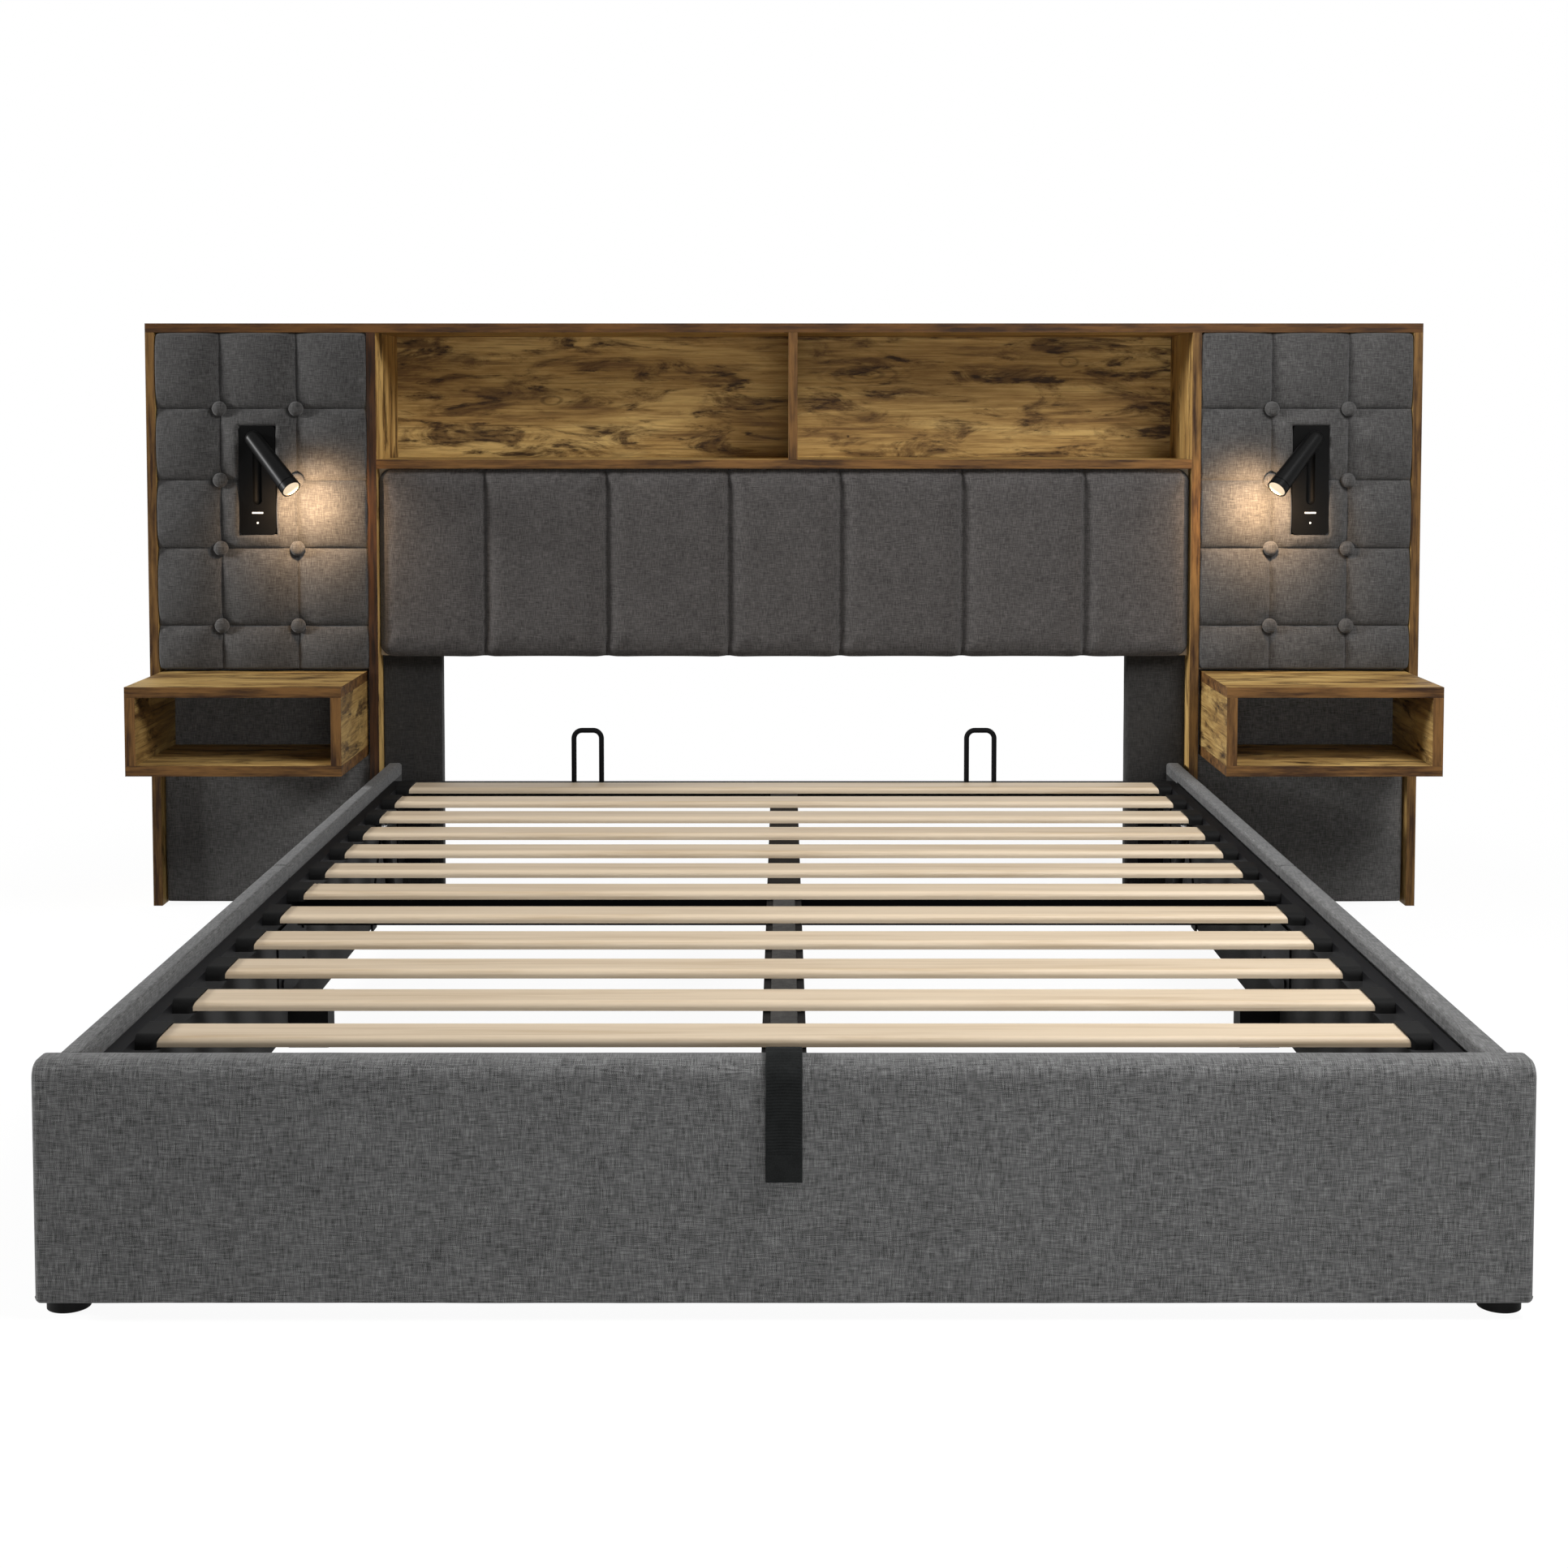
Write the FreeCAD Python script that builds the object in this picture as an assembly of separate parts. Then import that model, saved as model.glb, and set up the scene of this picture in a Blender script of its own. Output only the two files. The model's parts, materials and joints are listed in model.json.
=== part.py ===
import FreeCAD, Part
import math
import os

os.makedirs("parts", exist_ok=True)
Vector = FreeCAD.Vector

# Sizes in millimetres, angles in degrees.
# X runs across the bed, +Y towards the headboard, +Z up.
# The origin is on the floor, under the middle of the whole bed.

# Mattress that the bed takes, and the room round it
mattress_width = 1524
mattress_length = 2032
mattress_side_room = 13
mattress_end_room = 33

# Clearances and cuts
running_gap = 0.1
seat_gap = 0.3
overrun = 2

# Footboard and feet
foot_height = 18.5
front_foot_diameter = 48
front_foot_inset = 24.5
front_foot_setback = 45
footboard_thickness = 45
footboard_height = 268.5
footboard_overhang = 14
footboard_front_radius = 20
footboard_back_radius = 8
footboard_end_radius = 8

# Side rails and what joins them
rail_thickness = 30
rail_height = 266.5
rail_edge_radius = 7
joint_plate_length = 200
joint_plate_height = 110
joint_plate_thickness = 3
joint_plate_rise = 70
joint_bolt_inset = 25
bolt_head_diameter = 13
bolt_head_height = 3
mid_foot_width = 62
mid_foot_length = 50
mid_foot_height = 80
corner_block_length = 60
corner_block_depth = 24
corner_block_height = 70
head_bracket_thickness = 3
head_bracket_height = 140
head_bracket_rise = 50
head_bracket_rail_side = 80
head_bracket_leg_side = 55

# Headboard cabinet
board_thickness = 18
headboard_height = 1171
bookcase_depth = 259
back_panel_thickness = 12
rail_bay_gap = 9
wing_bay_width = 422
shelf_top_height = 900
divider_offset = 18
backing_board_thickness = 12
leg_width = 120
leg_thickness = 40

# Headboard upholstery
floor_gap = 3
pad_gap = 1
centre_pad_height = 377
centre_pad_thickness = 38
centre_pad_channels = 7
centre_pad_middle_channel = 224
centre_pad_channel_width = 245
channel_seam_depth = 16
centre_pad_crown = 20
swell_lead = 1.5
nightstand_pad_gap = 5
wing_pad_proud = 12
wing_pad_thickness = 55
tuft_column_width = 153
tuft_row_shares = (0.13, 0.361, 0.564, 0.776)
tuft_seam_depth = 16
button_diameter = 30
button_rise = 13
lower_panel_recess = 20
lower_panel_edge_radius = 6

# Nightstands
nightstand_width = 410
nightstand_depth = 285
nightstand_height = 170
nightstand_base_height = 305
nightstand_board = 20
nightstand_rod_diameter = 10
nightstand_rod_grip = 120
nightstand_rod_spacing = 260

# Reading lamps
lamp_offset = 7
lamp_plate_width = 72
lamp_plate_height = 216
lamp_plate_thickness = 12
lamp_middle_share = 0.564
lamp_plate_sink = 4
lamp_corner_radius = 7
lamp_housing_inset = 4
lamp_pivot_drop = 25
lamp_pivot_reach = 30
lamp_groove_radius = 8.8
lamp_groove_top_drop = 42
lamp_groove_length = 106
lamp_stem_diameter = 22
lamp_stem_socket = 6
lamp_stem_start = 20
lamp_tang_thickness = 8
lamp_tang_radius = 9
lamp_tang_gap = 0.5
lamp_pin_diameter = 6
lamp_pin_length = 22
lamp_head_length = 146
lamp_head_top_radius = 16
lamp_head_lens_radius = 20
lamp_head_wall = 2.5
lamp_head_bore_length = 110
lamp_ring_width = 1.6
lamp_ring_depth = 0.8
lamp_ring_setback = 13
lamp_lens_thickness = 4
lamp_lens_setback = 1
lamp_lens_rise = 3
lamp_switch_width = 22
lamp_switch_height = 3
lamp_switch_depth = 10
lamp_switch_proud = 0.8
lamp_switch_gap = 0.2
lamp_switch_rise = 43
lamp_dot_diameter = 4
lamp_dot_depth = 5
lamp_dot_rise = 23
lamp_rest_swivel = 42
lamp_rest_tilt = 26

# Lift frame
frame_side_gap = 5
frame_foot_gap = 8
frame_head_gap = 88
frame_drop = 17
frame_bar_width = 20
frame_bar_height = 40
frame_bar_wall = 2
mid_bar_gap = 4
mid_bar_height = 55
centre_bar_width = 52
centre_bar_height = 40
felt_width = 33
felt_thickness = 2

# Slats, holders and mattress stops
slat_count = 12
front_slat_count = 6
slat_width = 66
slat_thickness = 12
slat_edge_radius = 8
slat_proud = 2
first_slat_gap = 88
last_slat_gap = 4
slat_end_gap = 6
holder_reach = 29
holder_corner_radius = 11
holder_wall = 2.4
stop_spacing = 772
stop_width = 54
stop_height = 107
stop_rod_diameter = 10
stop_bend_radius = 16

# Lift hinge and gas struts
hinge_setback = 47
hinge_rise = 12
hinge_pin_diameter = 12
hinge_pin_head_diameter = 20
hinge_pin_head_height = 4
hinge_plate_thickness = 4
hinge_plate_margin = 20
hinge_bolt_shares = (0.22, 0.62)
strut_arm = 260
strut_rest_angle = 50
strut_inset = 15
strut_cylinder_diameter = 18
strut_rod_diameter = 9
strut_bore_floor = 20
strut_rod_floor = 26
strut_cylinder_length = 190
strut_eye_diameter = 24
strut_eye_thickness = 6
strut_pin_diameter = 8
strut_pin_tip = 3
strut_collar_diameter = 15
strut_collar_gap = 2
strut_open_play = 4.5

# Pull strap
strap_width = 40
strap_thickness = 3
strap_gap = 3.5
strap_drop = 131
strap_rod_diameter = 5
strap_rod_setback = 9
strap_rod_drop = 9
strap_ear_thickness = 3
strap_ear_gap = 2
strap_ear_length = 12
strap_lower_bend = 5

# Places worked out from the sizes above
inside_half = mattress_width / 2 + mattress_side_room
inside_length = mattress_length + mattress_end_room
rail_outer = inside_half + rail_thickness
rail_top = foot_height + rail_height
footboard_half = rail_outer + footboard_overhang
footboard_top = foot_height + footboard_height
headboard_depth = bookcase_depth + back_panel_thickness
overall_length = strap_gap + strap_thickness + footboard_thickness + inside_length + headboard_depth
foot_face = strap_gap + strap_thickness - overall_length / 2
foot_back = foot_face + footboard_thickness
post_face = foot_back + inside_length
back_face = post_face + headboard_depth

centre_bay_half = rail_outer + rail_bay_gap
wing_inner = centre_bay_half + board_thickness
wing_outer = wing_inner + wing_bay_width
wing_centre = (wing_inner + wing_outer) / 2
headboard_half = wing_outer + board_thickness
top_board_under = headboard_height - board_thickness
shelf_under = shelf_top_height - board_thickness
leg_face = post_face + centre_pad_thickness + backing_board_thickness
rail_joint = (foot_back + leg_face) / 2
centre_pad_back = post_face + centre_pad_thickness
centre_pad_top = shelf_under - pad_gap
centre_pad_bottom = centre_pad_top - centre_pad_height
wing_pad_front = post_face - wing_pad_proud
wing_board_face = wing_pad_front + wing_pad_thickness
lower_panel_face = post_face + lower_panel_recess

nightstand_back = lower_panel_face
nightstand_front = nightstand_back - nightstand_depth
nightstand_inner = wing_centre - nightstand_width / 2
nightstand_outer = nightstand_inner + nightstand_width
nightstand_top = nightstand_base_height + nightstand_height

wing_pad_bottom = nightstand_top + nightstand_pad_gap
wing_pad_top = top_board_under - pad_gap
wing_pad_height = wing_pad_top - wing_pad_bottom
lower_panel_top = wing_pad_bottom - floor_gap

lamp_x = -(wing_centre + lamp_offset)
lamp_plate_face = wing_pad_front + lamp_plate_sink
lamp_plate_back = lamp_plate_face + lamp_plate_thickness
lamp_plate_bottom = wing_pad_bottom + lamp_middle_share * wing_pad_height - lamp_plate_height / 2
lamp_plate_top = lamp_plate_bottom + lamp_plate_height
lamp_pivot = Vector(lamp_x, lamp_plate_face - lamp_pivot_reach, lamp_plate_top - lamp_pivot_drop)

frame_half = inside_half - frame_side_gap
frame_inner = frame_half - frame_bar_width
frame_foot = foot_back + frame_foot_gap
frame_head = post_face - frame_head_gap
frame_top = rail_top - frame_drop
frame_under = frame_top - frame_bar_height
slat_top = frame_top + slat_proud
slat_under = slat_top - slat_thickness
slat_half = frame_inner - slat_end_gap
front_bar_foot = frame_foot + frame_bar_width
rear_bar_head = frame_head - frame_bar_width
first_slat = front_bar_foot + first_slat_gap
slat_pitch = (rear_bar_head - last_slat_gap - slat_width - first_slat) / (slat_count - 1)
mid_bar_foot = first_slat + (front_slat_count - 1) * slat_pitch + slat_width + mid_bar_gap
mid_bar_head = mid_bar_foot + 2 * frame_bar_width

hinge_y = frame_head - hinge_setback
hinge_z = frame_under + hinge_rise
strut_x = frame_inner - strut_inset
strut_top_y = hinge_y - strut_arm
strut_base_y = hinge_y - strut_arm * math.cos(math.radians(strut_rest_angle))
strut_base_z = hinge_z - strut_arm * math.sin(math.radians(strut_rest_angle))
strut_rest_length = 2 * strut_arm * math.sin(math.radians(strut_rest_angle / 2))
hinge_plate_face = inside_half - hinge_plate_thickness

X = Vector(1, 0, 0)
Y = Vector(0, 1, 0)
Z = Vector(0, 0, 1)
ORIGIN = Vector(0, 0, 0)


# Shared shapes


def box(x, y, z):
    """A box from its (low, high) pairs along each axis."""
    size = [high - low for low, high in (x, y, z)]
    return Part.makeBox(*size, Vector(x[0], y[0], z[0]))


def rod(diameter, start, end):
    """A round bar between two points."""
    along = end - start
    return Part.makeCylinder(diameter / 2, along.Length, start, along)


def prism(points, along):
    """The polygon through the points, drawn out along a vector."""
    return Part.Face(Part.makePolygon(points + points[:1])).extrude(along)


def line(start, end):
    return Part.LineSegment(start, end).toShape()


def arc(start, middle, end):
    return Part.Arc(start, middle, end).toShape()


def mirrored(shape):
    """The same piece on the other side of the bed."""
    return shape.mirror(ORIGIN, X)


def both_sides(*shapes):
    """Pieces of the left side and their mirror images."""
    return [side for shape in shapes for side in (shape, mirrored(shape))]


def save(name, *solids):
    shape = solids[0] if len(solids) == 1 else Part.makeCompound(list(solids))
    shape.exportStep(f"parts/{name}.step")


def save_pair(name, shape):
    """A left piece and its mirror image, each in its own file."""
    save(f"{name}_left", shape)
    save(f"{name}_right", mirrored(shape))


def edges_along(shape, direction, test):
    """Straight edges that run along a direction and whose middle passes a test."""
    found = []
    for edge in shape.Edges:
        run = edge.Vertexes[-1].Point - edge.Vertexes[0].Point
        if run.Length > 0 and run.cross(direction).Length < run.Length / 1000:
            if test(edge.CenterOfMass):
                found.append(edge)
    return found


def tube(x, y, z, axis):
    """A rectangular steel tube, open at both ends along the axis numbered 0, 1 or 2."""
    spans = [x, y, z]
    inside = [
        (low - overrun, high + overrun) if index == axis else (low + frame_bar_wall, high - frame_bar_wall)
        for index, (low, high) in enumerate(spans)
    ]
    return box(*spans).cut(box(*inside))


def rounded_path(points, radii):
    """A wire of straight runs whose inner corners are arcs of the given radii."""
    edges = []
    start = points[0]
    for corner, back, onward, radius in zip(points[1:], points, points[2:], radii):
        before = (back - corner).normalize()
        after = (onward - corner).normalize()
        half_angle = before.getAngle(after) / 2
        inward = (before + after).normalize()
        enter = corner + before * (radius / math.tan(half_angle))
        leave = corner + after * (radius / math.tan(half_angle))
        middle = corner + inward * (radius / math.sin(half_angle) - radius)
        edges += [line(start, enter), arc(enter, middle, leave)]
        start = leave
    edges.append(line(start, points[-1]))
    return Part.Wire(edges)


def scalloped(breaks, back, crown, seam, place, along):
    """A slab whose front swells in an arc between each two breaks.

    place turns a distance along the row and a depth into a point."""
    edges = [line(place(breaks[0], back), place(breaks[0], seam))]
    for low, high in zip(breaks, breaks[1:]):
        middle = place((low + high) / 2, crown)
        edges.append(arc(place(low, seam), middle, place(high, seam)))
    edges.append(line(place(breaks[-1], seam), place(breaks[-1], back)))
    edges.append(line(place(breaks[-1], back), place(breaks[0], back)))
    return Part.Face(Part.Wire(edges)).extrude(along)


# Headboard cabinet


def headboard_boards():
    depth = (post_face, back_face)
    height = (0, top_board_under)
    top = box((-headboard_half, headboard_half), depth, (top_board_under, headboard_height))
    save("headboard_top_board", top)
    save_pair("headboard_outer_post", box((-headboard_half, -wing_outer), depth, height))
    save_pair("headboard_inner_post", box((-wing_inner, -centre_bay_half), depth, height))


def bookcase():
    across = (-centre_bay_half, centre_bay_half)
    depth = (post_face, post_face + bookcase_depth)
    save("bookcase_shelf", box(across, depth, (shelf_under, shelf_top_height)))
    divider_x = (divider_offset - board_thickness / 2, divider_offset + board_thickness / 2)
    save("bookcase_divider", box(divider_x, depth, (shelf_top_height, top_board_under)))
    save("bookcase_back", box(across, (depth[1], back_face), (shelf_under, top_board_under)))


def backing_boards():
    wing = box(
        (-wing_outer, -wing_inner),
        (wing_board_face, wing_board_face + backing_board_thickness),
        (floor_gap, top_board_under),
    )
    for hole in nightstand_rods(running_gap):
        wing = wing.cut(hole)
    centre = box(
        (-centre_bay_half, centre_bay_half),
        (centre_pad_back, leg_face),
        (centre_pad_bottom, shelf_under),
    )
    save("headboard_backing_boards", *both_sides(wing), centre)


def headboard_legs():
    leg = box(
        (-centre_bay_half, leg_width - centre_bay_half),
        (leg_face, leg_face + leg_thickness),
        (0, shelf_under),
    )
    save("headboard_legs", *both_sides(leg))


# Headboard upholstery


def centre_pad():
    seams_each_side = range((centre_pad_channels - 1) // 2)
    seams = [centre_pad_middle_channel / 2 + index * centre_pad_channel_width for index in seams_each_side]
    edge = centre_bay_half - pad_gap
    breaks = [-edge] + [-place for place in reversed(seams)] + seams + [edge]
    seam = post_face + channel_seam_depth
    channels = scalloped(
        breaks,
        centre_pad_back,
        post_face,
        seam,
        lambda across, depth: Vector(across, depth, centre_pad_bottom),
        Z * centre_pad_height,
    )
    swell = scalloped(
        [centre_pad_bottom, centre_pad_top],
        centre_pad_back,
        post_face - swell_lead,
        post_face + centre_pad_crown,
        lambda height, depth: Vector(-edge, depth, height),
        X * (2 * edge),
    )
    save("centre_pad", channels.common(swell))


def tuft_columns():
    return [lamp_x - tuft_column_width / 2, lamp_x + tuft_column_width / 2]


def tuft_rows():
    return [wing_pad_bottom + share * wing_pad_height for share in tuft_row_shares]


def wing_buttons(margin):
    """The covered buttons of the left wing, or their pockets when a margin is given."""
    base = wing_board_face - wing_pad_thickness + tuft_seam_depth
    radius = button_diameter / 2
    ball = (radius**2 + button_rise**2) / (2 * button_rise)
    low = math.degrees(math.asin((ball - button_rise) / ball))
    buttons = []
    for across in tuft_columns():
        for height in tuft_rows():
            seat = Vector(across, base, height)
            if margin:
                buttons.append(rod(button_diameter + 2 * margin, seat, seat - Y * wing_pad_thickness))
            else:
                centre = seat + Y * (ball - button_rise)
                buttons.append(Part.makeSphere(ball, centre, -Y, low, 90, 360))
    return buttons


def wing_pad():
    side = wing_outer - pad_gap
    inner = wing_inner + pad_gap
    seam = wing_pad_front + tuft_seam_depth
    columns = scalloped(
        [-side] + tuft_columns() + [-inner],
        wing_board_face,
        wing_pad_front,
        seam,
        lambda across, depth: Vector(across, depth, wing_pad_bottom),
        Z * wing_pad_height,
    )
    rows = scalloped(
        [wing_pad_bottom] + tuft_rows() + [wing_pad_top],
        wing_board_face,
        wing_pad_front - swell_lead,
        seam - swell_lead,
        lambda height, depth: Vector(-side, depth, height),
        X * (side - inner),
    )
    pad = columns.common(rows).cut(lamp_housing(seat_gap, wing_pad_thickness))
    for pocket in [lamp_plate_block(seat_gap, wing_pad_thickness)] + wing_buttons(seat_gap):
        pad = pad.cut(pocket)
    save_pair("wing_pad", pad)
    save("wing_buttons", *both_sides(*wing_buttons(0)))


def lower_panels():
    panel = box(
        (floor_gap - wing_outer, -wing_inner - floor_gap),
        (lower_panel_face, wing_board_face),
        (floor_gap, lower_panel_top),
    )
    front = [edge for edge in panel.Edges if edge.CenterOfMass.y < lower_panel_face + lower_panel_edge_radius]
    panel = panel.makeFillet(lower_panel_edge_radius, front)
    for hole in nightstand_rods(running_gap):
        panel = panel.cut(hole)
    save("wing_lower_panels", *both_sides(panel))


# Nightstands


def nightstand_rods(margin):
    """The concealed rods of the left nightstand, or their holes when a margin is given."""
    middle = -(nightstand_inner + nightstand_outer) / 2
    heights = (nightstand_base_height + nightstand_board / 2, nightstand_top - nightstand_board / 2)
    front = nightstand_back - nightstand_rod_grip - margin
    back = wing_board_face + backing_board_thickness + margin
    return [
        rod(
            nightstand_rod_diameter + 2 * margin,
            Vector(middle + side * nightstand_rod_spacing / 2, front, height),
            Vector(middle + side * nightstand_rod_spacing / 2, back, height),
        )
        for side in (-1, 1)
        for height in heights
    ]


def nightstands():
    across = (-nightstand_outer, -nightstand_inner)
    depth = (nightstand_front, nightstand_back)
    low = (nightstand_base_height, nightstand_base_height + nightstand_board)
    high = (nightstand_top - nightstand_board, nightstand_top)
    boards = {"nightstand_bottom": box(across, depth, low), "nightstand_top": box(across, depth, high)}
    for name, board in boards.items():
        for hole in nightstand_rods(running_gap):
            board = board.cut(hole)
        save_pair(name, board)
    between = (low[1], high[0])
    outer = box((across[0], across[0] + nightstand_board), depth, between)
    inner = box((across[1] - nightstand_board, across[1]), depth, between)
    save("nightstand_sides_left", outer, inner)
    save("nightstand_sides_right", mirrored(outer), mirrored(inner))
    save("nightstand_rods", *both_sides(*nightstand_rods(0)))


# Reading lamps, built on the left wing


def lamp_block(width, bottom, top, front, back, radius):
    half = width / 2
    block = box((lamp_x - half, lamp_x + half), (front, back), (bottom, top))
    return block.makeFillet(radius, edges_along(block, Y, lambda middle: True))


def lamp_housing(margin, forward):
    """The housing behind the plate, or the pocket that it stands in."""
    return lamp_block(
        lamp_plate_width - 2 * lamp_housing_inset + 2 * margin,
        lamp_plate_bottom + lamp_housing_inset - margin,
        lamp_plate_top - lamp_housing_inset + margin,
        lamp_plate_back - forward,
        wing_board_face,
        lamp_corner_radius,
    )


def lamp_slot(margin):
    """The push switch, or the slot that it slides in."""
    half = lamp_switch_width / 2 + margin
    middle = lamp_plate_bottom + lamp_switch_rise
    rise = lamp_switch_height / 2 + margin
    front = lamp_plate_face - lamp_switch_proud
    return box(
        (lamp_x - half, lamp_x + half),
        (front, lamp_plate_back if margin else front + lamp_switch_depth),
        (middle - rise, middle + rise),
    )


def lamp_dot():
    face = Vector(lamp_x, lamp_plate_face, lamp_plate_bottom + lamp_dot_rise)
    return rod(lamp_dot_diameter, face, face + Y * lamp_dot_depth)


def lamp_plate_block(margin, forward):
    """The plate before its holes, or the recess in the pad that it stands in."""
    return lamp_block(
        lamp_plate_width + 2 * margin,
        lamp_plate_bottom - margin,
        lamp_plate_top + margin,
        lamp_plate_face - forward,
        lamp_plate_back,
        lamp_corner_radius,
    )


def lamp_plate():
    plate = lamp_plate_block(0, 0)
    groove_top = Vector(lamp_x, lamp_plate_face, lamp_plate_top - lamp_groove_top_drop)
    groove_end = groove_top - Z * lamp_groove_length
    plate = plate.cut(rod(2 * lamp_groove_radius, groove_top, groove_end))
    for end in (groove_top, groove_end):
        plate = plate.cut(Part.makeSphere(lamp_groove_radius, end))
    socket_front = lamp_pivot + Y * (lamp_pivot_reach - overrun)
    socket_floor = lamp_pivot + Y * (lamp_pivot_reach + lamp_stem_socket)
    plate = plate.cut(rod(lamp_stem_diameter + 2 * running_gap, socket_front, socket_floor))
    return plate.cut(lamp_slot(lamp_switch_gap)).cut(lamp_dot())


def lamp_swivel():
    """The stem that turns in the plate, with the tang and cross pin that carry the head."""
    half = lamp_tang_thickness / 2
    stem = rod(
        lamp_stem_diameter,
        Y * lamp_stem_start,
        Y * (lamp_pivot_reach + lamp_stem_socket - running_gap),
    )
    tang = box((-half, half), (0, lamp_stem_start), (-lamp_tang_radius, lamp_tang_radius))
    knuckle = rod(2 * lamp_tang_radius, X * -half, X * half)
    pin = rod(lamp_pin_diameter, X * (-lamp_pin_length / 2), X * (lamp_pin_length / 2))
    return stem.fuse([tang, knuckle, pin]).removeSplitter()


def lamp_head():
    """The tapered head, hanging down from its pivot at the origin."""
    end = -lamp_head_length
    body = Part.makeCone(lamp_head_top_radius, lamp_head_lens_radius, lamp_head_length, ORIGIN, -Z)
    head = body.fuse(Part.makeSphere(lamp_head_top_radius)).removeSplitter()
    half = lamp_tang_thickness / 2 + lamp_tang_gap
    reach = lamp_tang_radius + lamp_tang_gap
    out = lamp_head_lens_radius + overrun
    head = head.cut(box((-half, half), (-reach, out), (-reach, out)))
    head = head.cut(rod(lamp_pin_diameter + 2 * running_gap, X * -out, X * out))
    bore = 2 * (lamp_head_top_radius - lamp_head_wall)
    head = head.cut(rod(bore, Z * end, Z * (end + lamp_head_bore_length)))
    seat = end + lamp_lens_setback + lamp_lens_thickness
    head = head.cut(rod(2 * (lamp_head_lens_radius - lamp_head_wall), Z * (end - overrun), Z * seat))
    ring_low = Z * (end + lamp_ring_setback)
    ring_high = ring_low + Z * lamp_ring_width
    ring = rod(2 * out, ring_low, ring_high)
    ring = ring.cut(rod(2 * (lamp_head_lens_radius - 2 * lamp_ring_depth), ring_low, ring_high))
    return head.cut(ring)


def lamp_lens():
    """A disc in the mouth of the head, with a domed front."""
    radius = lamp_head_lens_radius - lamp_head_wall
    front = lamp_lens_setback - lamp_head_length
    disc = rod(2 * radius, Z * front, Z * (front + lamp_lens_thickness))
    ball = (radius**2 + lamp_lens_rise**2) / (2 * lamp_lens_rise)
    low = math.degrees(math.asin((ball - lamp_lens_rise) / ball))
    dome = Part.makeSphere(ball, Z * (front + ball - lamp_lens_rise), -Z, low, 90, 360)
    return disc.fuse(dome).removeSplitter()


def lamp_posed(shape, tilt):
    """A lamp piece turned from hanging straight down to the way it rests."""
    posed = shape.copy()
    posed.rotate(ORIGIN, X, -tilt)
    posed.rotate(ORIGIN, Y, -lamp_rest_swivel)
    posed.translate(lamp_pivot)
    return posed


def lamps():
    save("lamp_housings", *both_sides(lamp_housing(0, 0)))
    save_pair("lamp_plate", lamp_plate())
    save_pair("lamp_swivel", lamp_posed(lamp_swivel(), 0))
    save_pair("lamp_head", lamp_posed(lamp_head(), lamp_rest_tilt))
    save_pair("lamp_lens", lamp_posed(lamp_lens(), lamp_rest_tilt))
    save_pair("lamp_switch", lamp_slot(0))
    save("lamp_indicators", *both_sides(lamp_dot()))


# Bed box


def footboard():
    panel = box((-footboard_half, footboard_half), (foot_face, foot_back), (foot_height, footboard_top))
    ends = edges_along(panel, Z, lambda middle: middle.y < foot_back - overrun)
    panel = panel.makeFillet(footboard_end_radius, ends)
    top = footboard_top - overrun
    back = edges_along(panel, X, lambda middle: middle.z > top and middle.y > foot_back - overrun)
    panel = panel.makeFillet(footboard_back_radius, back)
    front = edges_along(panel, X, lambda middle: middle.z > top and middle.y < foot_face + overrun)
    save("footboard", panel.makeFillet(footboard_front_radius, front))


def side_rails():
    for name, start, end in (("front", foot_back, rail_joint), ("rear", rail_joint, leg_face)):
        rail = box((-rail_outer, -inside_half), (start, end), (foot_height, rail_top))
        top = edges_along(rail, Y, lambda middle: middle.z > rail_top - overrun)
        save_pair(f"side_rail_{name}", rail.makeFillet(rail_edge_radius, top))


def joint_plates():
    face = joint_plate_thickness - inside_half
    low = foot_height + joint_plate_rise
    ends = (rail_joint - joint_plate_length / 2, rail_joint + joint_plate_length / 2)
    plate = box((-inside_half, face), ends, (low, low + joint_plate_height))
    bolts = [
        rod(bolt_head_diameter, Vector(face, along, height), Vector(face + bolt_head_height, along, height))
        for along in (ends[0] + joint_bolt_inset, ends[1] - joint_bolt_inset)
        for height in (low + joint_bolt_inset, low + joint_plate_height - joint_bolt_inset)
    ]
    save("rail_joint_plates", *both_sides(plate, *bolts))


def corner_blocks():
    top = frame_under - seat_gap
    block = box(
        (-inside_half, corner_block_depth - inside_half),
        (foot_back, foot_back + corner_block_length),
        (top - corner_block_height, top),
    )
    save("corner_blocks", *both_sides(block))


def head_brackets():
    height = (foot_height + head_bracket_rise, foot_height + head_bracket_rise + head_bracket_height)
    on_rail = box(
        (-inside_half, head_bracket_thickness - inside_half),
        (leg_face - head_bracket_rail_side, leg_face),
        height,
    )
    on_leg = box(
        (-inside_half, head_bracket_leg_side - inside_half),
        (leg_face - head_bracket_thickness, leg_face),
        height,
    )
    save("head_brackets", *both_sides(on_rail.fuse(on_leg).removeSplitter()))


def feet():
    centre = Vector(front_foot_inset - footboard_half, foot_face + front_foot_setback, 0)
    save("front_feet", *both_sides(rod(front_foot_diameter, centre, centre + Z * foot_height)))
    block = box(
        (-inside_half, mid_foot_width - inside_half),
        (rail_joint - mid_foot_length / 2, rail_joint + mid_foot_length / 2),
        (0, mid_foot_height),
    )
    save("mid_feet", *both_sides(block))


# Lift hinge and gas struts, built on the left side


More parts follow.
